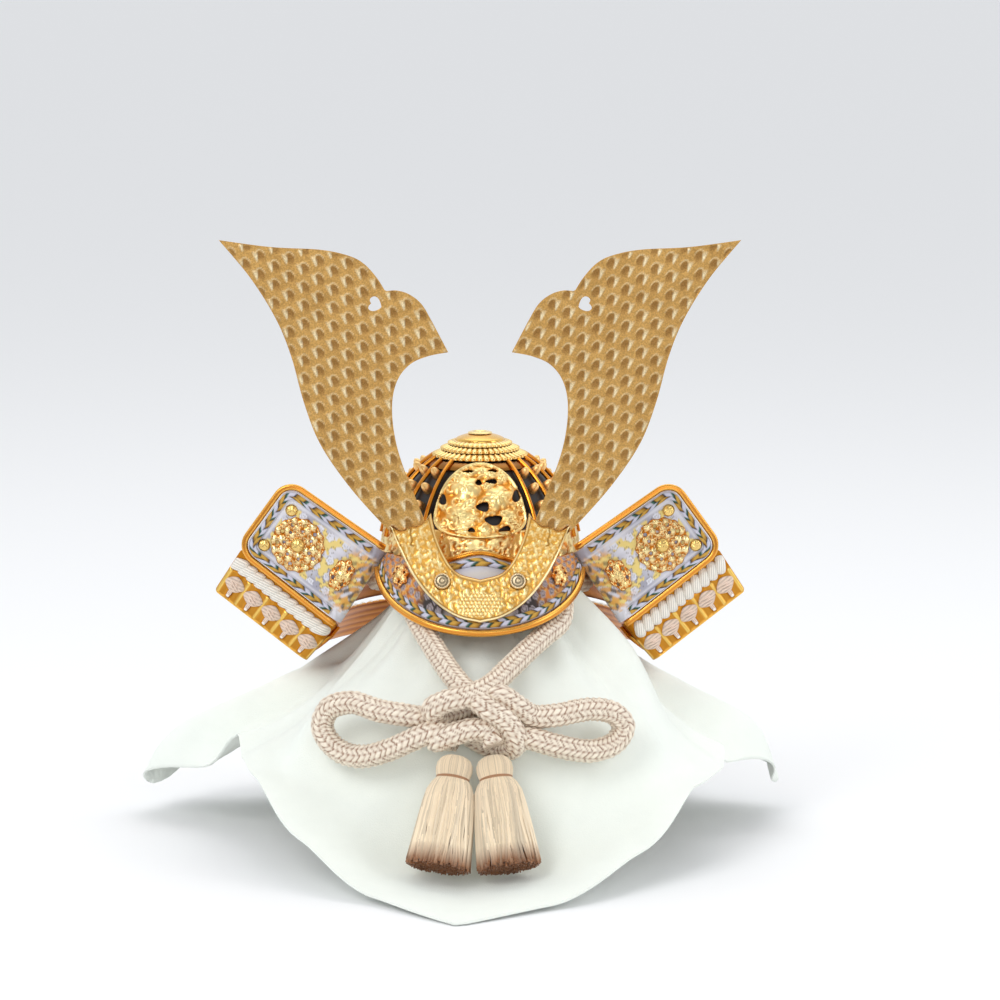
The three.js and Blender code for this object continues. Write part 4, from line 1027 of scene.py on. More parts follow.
# ---------------------------------------------------------------- visor and its trims
VISOR = {"wide": 52.4, "deep": 54, "back": -26, "level": 142, "drop": 24.4, "reach": 88,
         "wall": 1.4, "rim": 1.7}
BROW = {"rise": 7, "spread": 15}
BRAID = {"width": 3.8, "thick": 1.2, "pitch": 5.9, "step": 0.42, "columns": 11, "off": 0.3}


def visor_rim(t):
    """The visor's edge t degrees round from the front: an ellipse that drops towards the front."""
    a = np.radians(t)
    return np.stack([VISOR["wide"] * np.sin(a), VISOR["back"] - VISOR["deep"] * np.cos(a),
                     VISOR["level"] - VISOR["drop"] * np.cos(a)], -1)


def visor_root(t):
    """Where the visor leaves the bowl: it rises at the brow by rise * exp(-(x / spread)^2)."""
    p = on_bowl(0.75 * t, 0.0, 2.2)
    p[..., 2] = 149 + BROW["rise"] * bell(p[..., 0], BROW["spread"])
    return p


def on_visor(t, v, off=0.0):
    """The visor's top side: t degrees round, share v of the way from the bowl to the rim, off millimetres
    up."""
    t, v, off = np.broadcast_arrays(np.asarray(t, float), v, off)
    root, rim = visor_root(t), visor_rim(t)
    p = root + (rim - root) * v[..., None]
    a = np.radians(t)
    p[..., 2] += 1.5 * np.sin(math.pi * v) * np.cos(0.8 * a)
    return p + off[..., None] * np.stack([0.6 * np.sin(a), -0.6 * np.cos(a), 0.8 + 0 * a], -1)


def from_rim(t, gap):
    """The share of the way from the bowl to the rim that stops gap millimetres short of the rim."""
    return 1 - gap / np.linalg.norm(visor_root(t) - visor_rim(t), axis=-1)


def chevrons(along, across):
    """Colour and height of a flat braid. Along is in millimetres and across runs from -1 to 1. Each half
    is a row of slanting stitches that meet in arrowheads: phase = along / pitch - 0.42 * (1 - |across|).
    White and gold stitches take turns, the halves being half a turn apart, and a white stitch ends green."""
    phase = along / BRAID["pitch"] - 0.42 * (1 - np.abs(across)) + np.where(across > 0, 0.5, 0)
    stitch = np.floor(phase)
    part = phase - stitch
    white = (stitch + (across > 0)) % 2 < 0.5
    gap = bell(part - 1, 0.07) + bell(part, 0.07)
    middle = bell(across, 0.07) * 0.35
    green = smooth(0.62, 0.8, part)
    tint = np.where(white[..., None], coated(colour(208, 208, 226), (44, 98, 80, green)),
                    coated(colour(206, 160, 62), (150, 106, 30, smooth(0.5, 0.9, part))))
    tint = tint * (0.93 + 0.07 * np.sin(part * 40))[..., None]
    tint = coated(tint, (18, 20, 22, np.clip(1.25 * gap + middle, 0, 1)))
    height = np.sqrt(np.clip(1 - (2 * part - 1) ** 4, 0, 1)) * np.sqrt(np.clip(1 - 0.8 * across**2, 0, 1))
    height = height * (1 - 0.3 * bell(across, 0.1))
    return tint, height


def braid_strip(name, place, length, replaces):
    """A flat braid: place(share along, across from -1 to 1, off) gives its points."""
    s = np.linspace(0, 1, int(length / BRAID["step"]))[:, None]
    across = np.linspace(-1, 1, BRAID["columns"])[None, :]
    tint, height = chevrons(s * length + 0 * across, across + 0 * s)
    top = place(s, across, BRAID["off"] + BRAID["thick"] * (0.45 + 0.6 * height))
    wall_piece(name, "edge_braid", replaces, top, place(s, across, BRAID["off"] + 0 * height),
               grid_faces(*height.shape), tint.reshape(-1, 3))


def grooved_rim(name, path, outward_of, radius, replaces):
    """A rim tube with a groove along its outer side, so that it shows as two bright lines:
    radius * (1.04 - 0.24 * exp(-(angle from outward / 0.34)^2)). The groove is painted orange, a painted
    shade."""
    tangent = unit(np.gradient(path, axis=0))
    out = unit(outward_of - tangent * (outward_of * tangent).sum(1, keepdims=True))
    a = around(18)[:, None]
    turn = np.minimum(a, TAU - a)
    r = radius * (1.04 - 0.24 * bell(turn, 0.34))
    rings = path + (r * np.cos(a))[..., None] * out + (r * np.sin(a))[..., None] * np.cross(tangent, out)
    # Painted shade: the groove is coloured a darker orange.
    tint = mix(RIM_GOLD, colour(206, 112, 30), 0.8 * bell(turn, 0.38) + 0 * rings[..., 0])
    ring_piece(name, "deep_gilt", replaces, rings, tint, path[0], path[-1])


def nearest_flower(flat, sites):
    """Distance from each flat point to its nearest site, and its petals' wave 1 + 0.12 * cos(5 a) there."""
    near, lobes = np.full(len(flat), 9.0), np.ones(len(flat))
    for x, y, start, _ in sites:
        dx, dy = flat[:, 0] - x, flat[:, 1] - y
        r = np.hypot(dx, dy)
        lobes = np.where(r < near, 1 + 0.12 * np.cos(5 * (np.arctan2(dy, dx) + start)), lobes)
        near = np.minimum(near, r)
    return near, lobes


def visor():
    """The visor's leather: lilac satin near the brow, dark with round grey flowers lower down, and orange
    with vines towards its ends."""
    t = np.linspace(-VISOR["reach"], VISOR["reach"], 241)[:, None]
    v = np.linspace(0, 1, 44)[None, :] * from_rim(t, VISOR["rim"] + 0.7)
    flat = np.stack([np.radians(t) * 58 + 0 * v, (v - 1) * 32], -1).reshape(-1, 2)
    angle, share = (np.abs(t) + 0 * v).ravel(), (v + 0 * t).ravel()
    fold = 0.5 + 0.5 * np.sin(flat[:, 1] * 0.8 + 0.4 * np.sin(flat[:, 0] / 7))
    tint = mix(colour(196, 196, 208), colour(232, 214, 170), 0.35 * fold)
    dark_zone = between(angle, 17, 23, 52, 58) * between(share, 0.12, 0.28, 0.86, 0.9)
    orange_zone = smooth(34, 42, angle) * (1 - smooth(0.82, 0.88, share))
    zone = np.maximum(dark_zone, orange_zone)
    blotch = smooth(-0.1, 0.35, speckle(flat, 7.5, 3))
    orange = coated(colour(222, 138, 50), (160, 92, 40, blotch))
    tint = mix(coated(tint, (44, 32, 28, dark_zone)), orange, orange_zone * 0.92)
    near, lobes = nearest_flower(flat, scattered((-92, -34), (92, 4), 6.4, 21, 0.16))
    flower = 1 - smooth(1.9, 2.3, near * lobes)
    petal = coated(colour(172, 162, 166), (96, 86, 90, bell(near * lobes - 1.1, 0.28)))
    vines = scrolls(flat, scattered((-92, -34), (92, 4), 7.0, 8), 3.2, 0.35)
    tint = coated(mix(tint, petal, flower * zone * 0.95),
                  (236, 190, 104, 0.85 * vines * orange_zone * (1 - flower)))
    raised = 0.25 * flower * zone + 0.18 * vines * orange_zone
    shape = t.shape[0], v.shape[1]
    wall_piece("visor_leather", "printed_leather", "visor", on_visor(t, v, raised.reshape(shape)),
               on_visor(t, v, -VISOR["wall"]), grid_faces(*shape), tint, colour(186, 128, 44))


def visor_trims():
    """The visor's rim, the braid inside it, and the braid and two-line strip at the brow."""
    t = np.linspace(-VISOR["reach"], VISOR["reach"], 200)
    path = visor_rim(t)
    a = np.radians(t)
    out = np.stack([np.sin(a), -np.cos(a), -0.1 + 0 * a], -1)
    grooved_rim("visor_rim_gilt", path, out, VISOR["rim"], "visor_rim")

    def edge(s, across, off):
        t = -84 + 168 * s
        far, near = from_rim(t, VISOR["rim"] + 0.8), from_rim(t, VISOR["rim"] + 0.8 + BRAID["width"])
        return on_visor(t, near + (far - near) * (1 + across) / 2, off)

    def brow(s, across, off):
        return on_visor(-36 + 72 * s, 0.175 + 0.048 * across, off)

    braid_strip("visor_braid_chevrons", edge, 172, "visor_braid")
    braid_strip("brow_braid_chevrons", brow, 46, "brow_braid")
    skin = Skin()
    across = np.linspace(-36, 36, 60)
    skin.tube(on_visor(across, 0.068, 0.95), 0.95, 12, DEEP_GOLD)
    skin.tube(on_visor(across, 0.035, 0.85), 0.62, 10, GOLD)
    skin.make("brow_strip_gilt", "deep_gilt", "brow_strip", sharp=30)


def ring_of(count, share, radius, start=0.0):
    """Flat centres set evenly on a circle of share * radius."""
    a = around(count) + start
    return share * radius * np.stack([np.cos(a), np.sin(a)], -1)


def pierced_disc(radius, pitch, wave, holes):
    """The clipped grid of a flat disc whose edge is wave(angle) * radius, less holes (x, y, radius)."""

    def inside(points):
        distance = radius * wave(np.arctan2(points[:, 1], points[:, 0])) - np.hypot(*points.T)
        for x, y, size in holes:
            distance = np.minimum(distance, np.hypot(points[:, 0] - x, points[:, 1] - y) - size)
        return distance

    return clipped_grid((-radius, -radius), (radius, radius), pitch, inside)


def openwork(name, finish, replaces, place, radius, rise, seed):
    """A small pierced mound of curling leaves about a flower: place(flat, off) lays it down."""
    draw = np.random.default_rng(seed)
    start = draw.uniform(0, 1)
    spots = ring_of(7, 1, radius, start)
    holes = [(0.62 * x, 0.62 * y, 0.13 * radius) for x, y in spots[::2]]
    blooms = [(0.0, 0.0, 0.42 * radius)] + [(0.58 * x, 0.58 * y, 0.3 * radius) for x, y in spots[1::2]]
    flat, faces, depth = pierced_disc(radius, 0.32, lambda a: 0.93 + 0.07 * np.cos(7 * a + seed), holes)
    height = 0.6 * scrolls(flat, scattered((-radius, -radius), (radius, radius), 3.0, seed), 1.5, 0.34)
    for x, y, size in blooms:
        height = np.maximum(height, (0.7 + size / radius) * petals(flat, x, y, size, 6, seed + x))
    height = height * (0.45 + 0.55 * smooth(0, 0.4, depth))
    mound = rise * rounded(np.hypot(*flat.T) / radius)
    # Painted shade in the relief's hollows and painted highlight on its tops.
    wall_piece(name, finish, replaces, place(flat, 0.5 + mound + 1.3 * height),
               place(flat, 0.35 + 0.8 * mound), faces, relief_shade_and_highlight(height, end=0.6), sharp=75)


def visor_ornament(name, side):
    """A pierced mound on the visor's side, square to its surface."""
    middle = on_visor(58.0 * side, 0.46)
    across = unit(on_visor(58.0 * side, 0.56) - middle)
    along = unit(on_visor(60.0 * side, 0.46) - middle)
    out = unit(np.cross(along, across))
    out = out if out[2] > 0 else -out

    def place(flat, off):
        return middle + flat[:, :1] * along + flat[:, 1:] * across + off[:, None] * out

    openwork(f"visor_ornament_{name}_openwork", "bright_gilt", f"visor_ornament_{name}", place,
             6.3, 1.6, 31 + side)


bowl()
rib_cage()
waist_band()
crown_collar()
front_plate()
crown()
visor()
visor_trims()
for name, side in SIDES.items():
    visor_ornament(name, side)


# ---------------------------------------------------------------- horn stand, horns and studs
STAND_PLATE = {"thick": 1.2, "top": 170, "low": 123, "front": -65, "lean": 15, "scoop": 4.6}
INNER_EDGE = [(0, 143), (10.6, 146), (15.4, 150.6), (21.6, 163.2), (24.6, 176)]
OUTER_EDGE = [(0, 123), (11, 125.5), (22, 132), (32.5, 143.5), (40, 157), (45, 169.7)]
SOCKET_WALLS = [(21.3, 22.5, -66.3, -60.9), (33.5, 34.7, -66.3, -60.9), (21.3, 34.7, -61.9, -60.8)]
SLIT = [(34.6, 168.5), (34.9, 165.5), (34.0, 162.2), (34.6, 160.2), (33.2, 159.6)]
STUD = {"x": 19, "z": 142.3, "head": 4.1}


def stand_plate_y(z):
    """Y of the plate's front: it leans forward by lean * ((top - z) / (top - low))^2 below its top."""
    share = np.maximum(0, STAND_PLATE["top"] - z) / (STAND_PLATE["top"] - STAND_PLATE["low"])
    return STAND_PLATE["front"] - STAND_PLATE["lean"] * share**2


def horn_stand():
    """The U-shaped plate: u runs from arm tip to arm tip, v from the inner to the outer edge. Its relief is
    broken scrolls among small hills, with a patch of beads at the bottom, a slit line below each scalloped
    top, and a rim along every edge. Two sockets stand behind the tops."""
    rows, columns = 285, 46
    u = np.linspace(-1, 1, rows)
    v = np.linspace(0, 1, columns)[None, :]
    inner = catmull(INNER_EDGE, np.abs(u) * (len(INNER_EDGE) - 1))
    outer = catmull(OUTER_EDGE, np.abs(u) * (len(OUTER_EDGE) - 1))
    span = np.linalg.norm(outer - inner, axis=1)[:, None]
    flat = inner[:, None] + (outer - inner)[:, None] * v[..., None]
    top = np.maximum(0, (np.abs(u)[:, None] - 0.8) / 0.2)
    scallop = (STAND_PLATE["scoop"] * np.sin(math.pi * v) + 1.3 * np.abs(np.sin(2 * math.pi * v))
               - 0.8 * np.sin(math.pi * v) ** 8)
    flat[..., 1] -= top * scallop
    flat[..., 0] *= np.sign(u)[:, None] + (u[:, None] == 0)
    points = flat.reshape(-1, 2)
    edge = (np.minimum(v, 1 - v) * span).ravel()
    tip = ((1 - np.abs(u))[:, None] * 62 + 0 * v).ravel()
    field = smooth(1.2, 2.2, edge) * smooth(0.5, 1.5, tip)
    mirror = np.abs(points)
    large, small = (scattered((-2, 120), (48, 178), *how) for how in ((4.4, 17, 0.18), (3.6, 18, 0.3)))
    height = 0.6 * scrolls(mirror, large, 1.9, 0.6, 0.9) * smooth(-0.5, 0.5, speckle(points, 5, 23))
    height = np.maximum(height, 0.75 * smooth(0.0, 0.8, speckle(points, 3.6, 24)))
    height = np.maximum(height, 0.5 * scrolls(mirror, small, 0.9, 0.55, 1.0))
    height *= 0.8 + 0.2 * speckle(points, 6, 21)
    beads = 0.6 * bead_patch(points, 1.9) + 0.25 * smooth(0.0, 0.7, speckle(points, 3.0, 25))
    patch = 1 - smooth(0.75, 1.0, np.hypot(points[:, 0] / 12.5, (points[:, 1] - 131.5) / 6.5))
    height = height * (1 - patch) + beads * patch
    from_stud = np.hypot(mirror[:, 0] - STUD["x"], points[:, 1] - STUD["z"])
    height *= field * smooth(STUD["head"] - 0.4, STUD["head"] + 0.7, from_stud)
    groove = bell(slit_distance(mirror), 0.35)
    height = height * (1 - groove) - 0.35 * groove
    outer_side = ((1 - v) * span).ravel()
    rim = bell(outer_side - 0.55, 0.45) + 0.8 * bell(edge - 0.5, 0.4)
    rim += 0.9 * bell(tip - 0.5, 0.45)
    height = np.maximum(height, np.minimum(rim, 1.1))
    y = stand_plate_y(points[:, 1])
    front = np.stack([points[:, 0], y - 0.95 * height, points[:, 1]], 1)
    back = np.stack([points[:, 0], y + STAND_PLATE["thick"], points[:, 1]], 1)
    # Painted light: shade in the relief's hollows and highlight on its tops, a painted highlight along the
    # outer rim, and painted shade in the low groove inside the rim and in the slit.
    tint = relief_shade_and_highlight(height, colour(224, 168, 78), colour(255, 238, 176), 0.0, 0.75)
    tint = coated(tint, (255, 240, 196, 0.8 * bell(outer_side - 0.5, 0.4)),
                  (138, 90, 34, 0.7 * bell(edge - 1.35, 0.25)), (110, 70, 20, 0.75 * groove))
    skin = Skin()
    skin.thick(front, back, grid_faces(rows, columns), tint, DEEP_GOLD)
    for side in SIDES.values():
        for low, high, front, back in SOCKET_WALLS:
            block(skin, sorted((side * low, side * high)), (front, back), (151, 157), GOLD)
    skin.make("horn_stand_embossed", "stand_gilt", "horn_stand", sharp=70)


def bead_patch(points, pitch):
    """Round beads on a hexagonal lattice: sqrt(1 - (r / (0.46 pitch))^2) about each."""
    row = np.round(points[:, 1] / (pitch * 0.87))
    best = np.zeros(len(points))
    for k in (-1, 0, 1):
        y = (row + k) * pitch * 0.87
        shift = ((row + k) % 2) * pitch / 2
        x = np.round((points[:, 0] - shift) / pitch) * pitch + shift
        r = np.hypot(points[:, 0] - x, points[:, 1] - y) / (0.46 * pitch)
        best = np.maximum(best, rounded(r))
    return best


def slit_distance(points):
    """Distance to the curved slit line that runs down from the arm's scalloped top."""
    line = catmull(SLIT, np.linspace(0, len(SLIT) - 1, 40))
    near = np.full(len(points), 9.0)
    close = (np.abs(points[:, 0] - 34) < 6) & (points[:, 1] > 156)
    near[close] = np.linalg.norm(points[close][:, None] - line[None], axis=-1).min(1)
    return near


def block(skin, xs, ys, zs, tint):
    """A box between two values on each axis."""
    corners = np.array([(x, y, z) for z in zs for y in ys for x in xs], float)
    faces = np.array([(0, 2, 3, 1), (4, 5, 7, 6), (0, 1, 5, 4), (2, 6, 7, 3), (0, 4, 6, 2), (1, 3, 7, 5)])
    skin.add(corners, faces, tint)


# A stud's profile from its shank to its point: distance from the axis and rise over the plate.
STUD_PROFILE = [(0.4, -6.3), (1.2, -6.2), (1.2, -1), (1.3, 0.85), (4.1, 0.85), (4.15, 1.25), (3.7, 1.75),
                (3.3, 1.9), (2.9, 1.65), (2.5, 1.9), (2.0, 2.0), (1.5, 2.2), (1.1, 2.5), (0.6, 2.95),
                (0.05, 3.15)]
# Rings of the stud's profile that sit in its hollows and are painted dark, as painted shade.
STUD_SHADED_RINGS = (8, 9, 11, 12)


def horn_stud(name, side):
    """A round rosette with a pointed middle, set square to the sloping plate."""
    slope = (stand_plate_y(STUD["z"] + 1) - stand_plate_y(STUD["z"] - 1)) / 2
    out = unit(np.array([0, -1.0, slope]))
    middle = np.array([side * STUD["x"], stand_plate_y(STUD["z"]), STUD["z"]])
    across = np.array([1.0, 0, 0])
    a = around(96)[:, None]
    r, rise = np.array(STUD_PROFILE).T
    place = np.arange(len(r))
    petal = 0.4 * np.abs(np.cos(a * 7)) * bell(r - 3.5, 0.6) * (place > 4)
    bead = 0.2 * np.abs(np.cos(a * 14)) * bell(r - 2.3, 0.35) * (place > 7)
    height = (rise + petal + bead)[..., None]
    rings = middle + out * height + (r * np.cos(a))[..., None] * across
    rings += (r * np.sin(a))[..., None] * np.cross(out, across)
    # Painted shade: the rings in the stud's hollows are darkened to 0.35.
    shade = np.where(np.isin(place, STUD_SHADED_RINGS), 0.35, 1.0)[None, :, None]
    ring_piece(f"horn_stud_{name}_rosette", "stud_silver_gilt", f"horn_stud_{name}", rings,
               SILVER_GOLD * shade + 0 * height)


HORN = {"front": -63.3, "thick": 0.9, "column": 7.3, "row": 9.2, "tilt": 0.08, "grid": 0.67}


HORN_TIP, HORN_EYE, HORN_NOTCH = (129.6, 313), (15.9, 257), (47.1, 287.5)
HORN_UPPER = [HORN_NOTCH, (51.5, 294.5), (58, 301.5), (66, 305.5), (80, 308.3), (104, 309.6), HORN_TIP]
HORN_OUTER = [HORN_TIP, (114, 294), (101.5, 273.5), (94, 254.6), (88, 232), (80, 211), (66, 190),
              (48.6, 170), (39.5, 162)]
HORN_TANG = [(33, 156.5), (33, 151.5), (23, 151.5)]
HORN_INNER = [(23.3, 160), (29.5, 176.6), (38.9, 200.6), (43, 217), (43.8, 232), (41, 243.3), (34.8, 251),
              (26, 255), HORN_EYE]
HORN_FORK = [HORN_EYE, (24, 272.5), (29.2, 281.2), (35.3, 286), (41.5, 287.9), HORN_NOTCH]


def horn_outline():
    """The +X horn's outline in (x, z), once round from the notch between its two points."""
    runs = HORN_UPPER, HORN_OUTER, HORN_INNER, HORN_FORK
    upper, outer, inner, fork = (outline_through(run, 8) for run in runs)
    return np.vstack([upper[:-1], outer, HORN_TANG, inner[:-1], fork[:-1]])


def heart_outline():
    """The heart-shaped opening: four bends, each a quadratic curve from a to b pulled towards c."""
    corners = [(49, 279.5), (53, 285), (54.2, 281.5), (54.5, 277.8)]
    pulls = [(50, 285.5), (56, 284), (57, 279), (52, 277)]
    t = np.linspace(0, 1, 8, endpoint=False)[:, None]
    return np.vstack([(1 - t) ** 2 * np.array(a) + 2 * t * (1 - t) * np.array(c) + t**2 * np.array(b)
                      for a, c, b in zip(corners, pulls, corners[1:] + corners[:1])])


def feathers(x, z):
    """Scale pattern of (tongue, lip, lobe) in offset columns. In each cell, a outwards and b down from the
    arch's top: the tongue is the oval q = hypot((a + 0.7 + 0.25 (b - 2.9)) / 2.15, (b - 2.9) / 3.1) < 1, the
    lip a thin arch over it at q = 1.12, and the lobe a wedge on its outer side, brightest low down."""
    tongue, lip, lobe = (np.zeros(len(x)) for _ in range(3))
    column = np.round(x / HORN["column"])
    for i in (-1, 0, 1):
        cx = (column + i) * HORN["column"]
        shift = ((column + i) % 2) * 0.5 * HORN["row"] + HORN["tilt"] * cx
        row = np.round((z - shift) / HORN["row"])
        for j in (-1, 0, 1):
            cz = (row + j) * HORN["row"] + shift
            a, b = x - cx, cz - z
            q = np.hypot((a + 0.7 + 0.25 * (b - 2.9)) / 2.15, (b - 2.9) / 3.1)
            tongue = np.maximum(tongue, (1 - smooth(0.8, 1.02, q)) * (1 - 0.6 * smooth(2.5, 5.8, b)))
            lip = np.maximum(lip, bell(q - 1.12, 0.11) * (1 - smooth(1.2, 2.8, b)))
            wedge = smooth(-0.3, 0.2, a - 1.45 + 0.12 * b) * smooth(-0.4, 0.6, 4.3 - 0.55 * b - a)
            wedge *= smooth(-0.2, 1.0, b) * (1 - smooth(5.1, 5.8, b)) * (0.42 + 0.58 * smooth(0.3, 3.6, b))
            lobe = np.maximum(lobe, wedge)
    return tongue, lip, lobe


def horn(name, side):
    """A tall flat horn with a heart-shaped opening, its front covered with raised feather scales."""
    outline, heart = horn_outline(), heart_outline()

    def inside(points):
        distance = outline_distance(points, outline)
        close = (np.abs(points - [53, 281]) < 8).all(1)
        if close.any():
            distance[close] = np.minimum(distance[close], -outline_distance(points[close], heart))
        return distance

    flat, faces, depth = clipped_grid((15, 151), (130.5, 314), HORN["grid"], inside)
    tongue, lip, lobe = feathers(flat[:, 0], flat[:, 1])
    fade = smooth(0.0, 1.2, depth) * smooth(154, 160, flat[:, 1])
    height = (0.6 * lobe + 0.22 * lip - 0.4 * tongue) * fade
    grain = 0.06 * speckle(flat, 1.3, 5)
    # Painted light: the tongues are painted dark as shade in their hollows, and the lips and lobes pale as
    # highlights, all fading out near the edges.
    tint = coated(colour(210, 166, 98), (168, 126, 72, tongue * fade),
                  (255, 240, 200, np.maximum(lobe, 0.55 * lip) * fade))
    tint = tint * (1 - 0.15 * np.abs(grain)[:, None])
    y = HORN["front"] - height - grain
    front = np.stack([side * flat[:, 0], y, flat[:, 1]], 1)
    back = front + [0, HORN["thick"], 0]
    if side < 0:
        faces = [f[:, ::-1] for f in faces]
    wall_piece(f"horn_{name}_feathered", "horn_gilt", f"horn_{name}", front, back, faces, tint, HORN_GOLD,
               sharp=75)


# ---------------------------------------------------------------- wings and their lower lames
WING = {"inner_top": (47.7, -27, 148.7), "outer_top": (97.8, -20, 183.1), "inner_low": (71.2, -30, 112.9),
        "outer_low": (121.1, -22, 151.0), "length": 61, "width": 41, "corner": 7, "roll": 7,
        "wall": 1.6, "rim": 1.6}
LAME = {"inner_top": (72.5, -25, 111), "outer_top": (122, -16, 150), "inner_low": (88.7, -25, 92.7),
        "outer_low": (136.3, -16, 128.2), "length": 60, "width": 25, "corner": 2, "roll": 6, "wall": 1.2,
        "twists": 11, "knits": 5, "first": 6.6, "step": 11.6}
ROSETTE = {"along": 40, "up": 19, "radius": 14}


def on_panel(panel, side, along, up, off=0.0):
    """A point of a turned-back panel: along from its fold and up from its lower edge, in millimetres, off
    to the front. Within roll of the fold it bends back as roll - sqrt(roll^2 - (roll - along)^2)."""
    along, up, off = np.broadcast_arrays(np.asarray(along, float), up, off)
    a, b = (along / panel["length"])[..., None], (up / panel["width"])[..., None]
    low = np.array(panel["inner_low"]) * (1 - a) + np.array(panel["outer_low"]) * a
    top = np.array(panel["inner_top"]) * (1 - a) + np.array(panel["outer_top"]) * a
    p = low * (1 - b) + top * b
    s = np.clip(panel["roll"] - along, 0, panel["roll"])
    p[..., 1] += panel["roll"] - np.sqrt(panel["roll"] ** 2 - s**2) - off
    p[..., 0] *= side
    return p


def laid_on(panel, side, along=0.0, up=0.0, tall=1.0):
    """A function that lays flat points, counted from (along, up), on the front face of a panel."""
    def place(points, off):
        half = panel["wall"] / 2
        return on_panel(panel, side, along + points[..., 0], up + points[..., 1] * tall, half + off)

    return place


def panel_grid(panel):
    """The panel's flat grid within a rectangle whose outer corners are rounded."""
    length, half, r = panel["length"], panel["width"] / 2, panel["corner"]

    def inside(points):
        x, y = points[:, 0], np.abs(points[:, 1] - half)
        straight = np.minimum(np.minimum(x, length - x), half - y)
        cx, cy = x - (length - r), y - (half - r)
        return np.where((cx > 0) & (cy > 0), r - np.hypot(cx, cy), straight)

    return clipped_grid((0, 0), (length, panel["width"]), 0.6, inside)


def wing_edge(inset, start, count):
    """The wing's edge line, inset millimetres inside it: out along the top, round the outer end and back
    along the lower edge."""
    r, length = WING["corner"] - inset, WING["length"] - inset
    low, high = inset, WING["width"] - inset
    a = np.linspace(0, math.pi / 2, 14)
    top = np.stack([length - r + r * np.sin(a), high - r + r * np.cos(a)], 1)
    bottom = np.stack([length - r + r * np.cos(a), low + r - r * np.sin(a)], 1)
    return evenly(np.vstack([[(start, high)], top, bottom, [(start, low)]]), count)


def brocade(flat, seed):
    """A woven arabesque: (gold ground, dark outlines, pale round blossoms), each from 0 to 1. The gold lies
    where a field of smooth hills is above zero, and the outlines where it crosses zero."""
    low, high = flat.min(0), flat.max(0)
    hills = speckle(flat, 9.0, seed) + 0.45 * speckle(flat, 3.8, seed + 1) + 0.1
    cover = smooth(-0.06, 0.06, hills)
    line = bell(hills, 0.055) * smooth(-0.2, 0.3, speckle(flat, 5.0, seed + 3))
    curls = scrolls(flat, scattered(low, high, 8.5, seed + 4), 2.6, 0.24, 1.2)
    line = np.maximum(line, 0.7 * smooth(0.4, 0.8, curls))
    blossoms = np.zeros(len(flat))
    for x, y, start, _ in scattered(low, high, 9.4, seed + 2, 0.25):
        dx, dy = flat[:, 0] - x, flat[:, 1] - y
        r = np.hypot(dx, dy) + 0.18 * np.cos(5 * np.arctan2(dy, dx) + start)
        blossoms = np.maximum(blossoms, 1 - smooth(1.9, 2.1, r))
        line = np.maximum(line * (r > 1.9), 0.6 * bell(r - 2.15, 0.16))
        line = np.maximum(line, 0.5 * bell(r - 0.9, 0.16))
    return cover, line, blossoms


def wing(name, side):
    """The wing's satin panel: lilac satin with a pale gold arabesque inside the braid, and a dark and
    orange print that shows in patches along the fold."""
    flat, faces, _ = panel_grid(WING)
    x, y = flat.T
    edge = np.minimum(np.minimum(y, WING["width"] - y), WING["length"] - x)
    print_area = smooth(6.6, 7.0, edge)
    cover, line, blossoms = brocade(flat, 40)
    # Painted shade and sheen: the satin swings in broad waves between a shaded darker lilac and a pale lit
    # lilac.
    satin = mix(colour(166, 166, 182), colour(228, 228, 238), 0.5 + 0.5 * np.sin(x * 0.19 + y * 0.11))
    tint = coated(satin * (0.96 + 0.04 * np.sin(y * 9))[:, None], (236, 212, 128, cover * print_area),
                  (226, 228, 240, blossoms * print_area), (92, 78, 58, 0.9 * line * print_area))
    fold = 1 - smooth(7, 19, x + 2.5 * speckle(flat, 5, 47))
    stripes = smooth(0.0, 0.5, speckle(flat * [1.0, 0.5], 3.4, 48))
    print_fold = smooth(-0.5, 0.1, speckle(flat, 4.2, 49)) * fold * smooth(4.2, 5.0, edge)
    tint = mix(tint, coated(colour(226, 164, 66), (86, 66, 40, stripes)), 0.9 * print_fold)
    tint = coated(tint, (238, 238, 246, 0.6 * bell(edge - 5.4, 0.7)))
    ripple = 0.2 * cover * print_area + 0.12 * np.sin(y * 0.5 + x * 0.22) + 0.5 * stripes * fold
    place = laid_on(WING, side)
    wall_piece(f"wing_{name}_satin", "printed_satin", f"wing_{name}", place(flat, 0.1 + ripple),
               place(flat, -WING["wall"]), faces, tint, colour(196, 150, 62))


def wing_trims(name, side):
    """The wing's rim and the braid inside it, along its top, outer end and lower edge."""
    line = wing_edge(-WING["rim"] - 0.35, 3, 260)
    path = on_panel(WING, side, line[:, 0], line[:, 1], 0.0)
    ahead = np.tile([0.0, -1.0, 0.0], (260, 1))
    sideways = np.cross(unit(np.gradient(path, axis=0)), ahead)
    sideways *= np.sign((sideways * (path - path.mean(0))).sum(1)[130])
    outward = unit(ahead + 0.25 * sideways)
    grooved_rim(f"wing_rim_{name}_gilt", path, outward, WING["rim"], f"wing_rim_{name}")
    near, far = wing_edge(0.6, 8, 600), wing_edge(0.2 + BRAID["width"], 8, 600)
    on_wing = laid_on(WING, side)

    def place(s, across, off):
        row = np.linspace(0, 1, 600)
        outer, inner = (np.stack([np.interp(s[:, 0], row, edge[:, k]) for k in (0, 1)], -1)[:, None]
                        for edge in (near, far))
        return on_wing(outer + (inner - outer) * ((1 + across) / 2)[..., None], 0.15 + off)

    braid_strip(f"wing_braid_{name}_chevrons", place, 140, f"wing_braid_{name}")


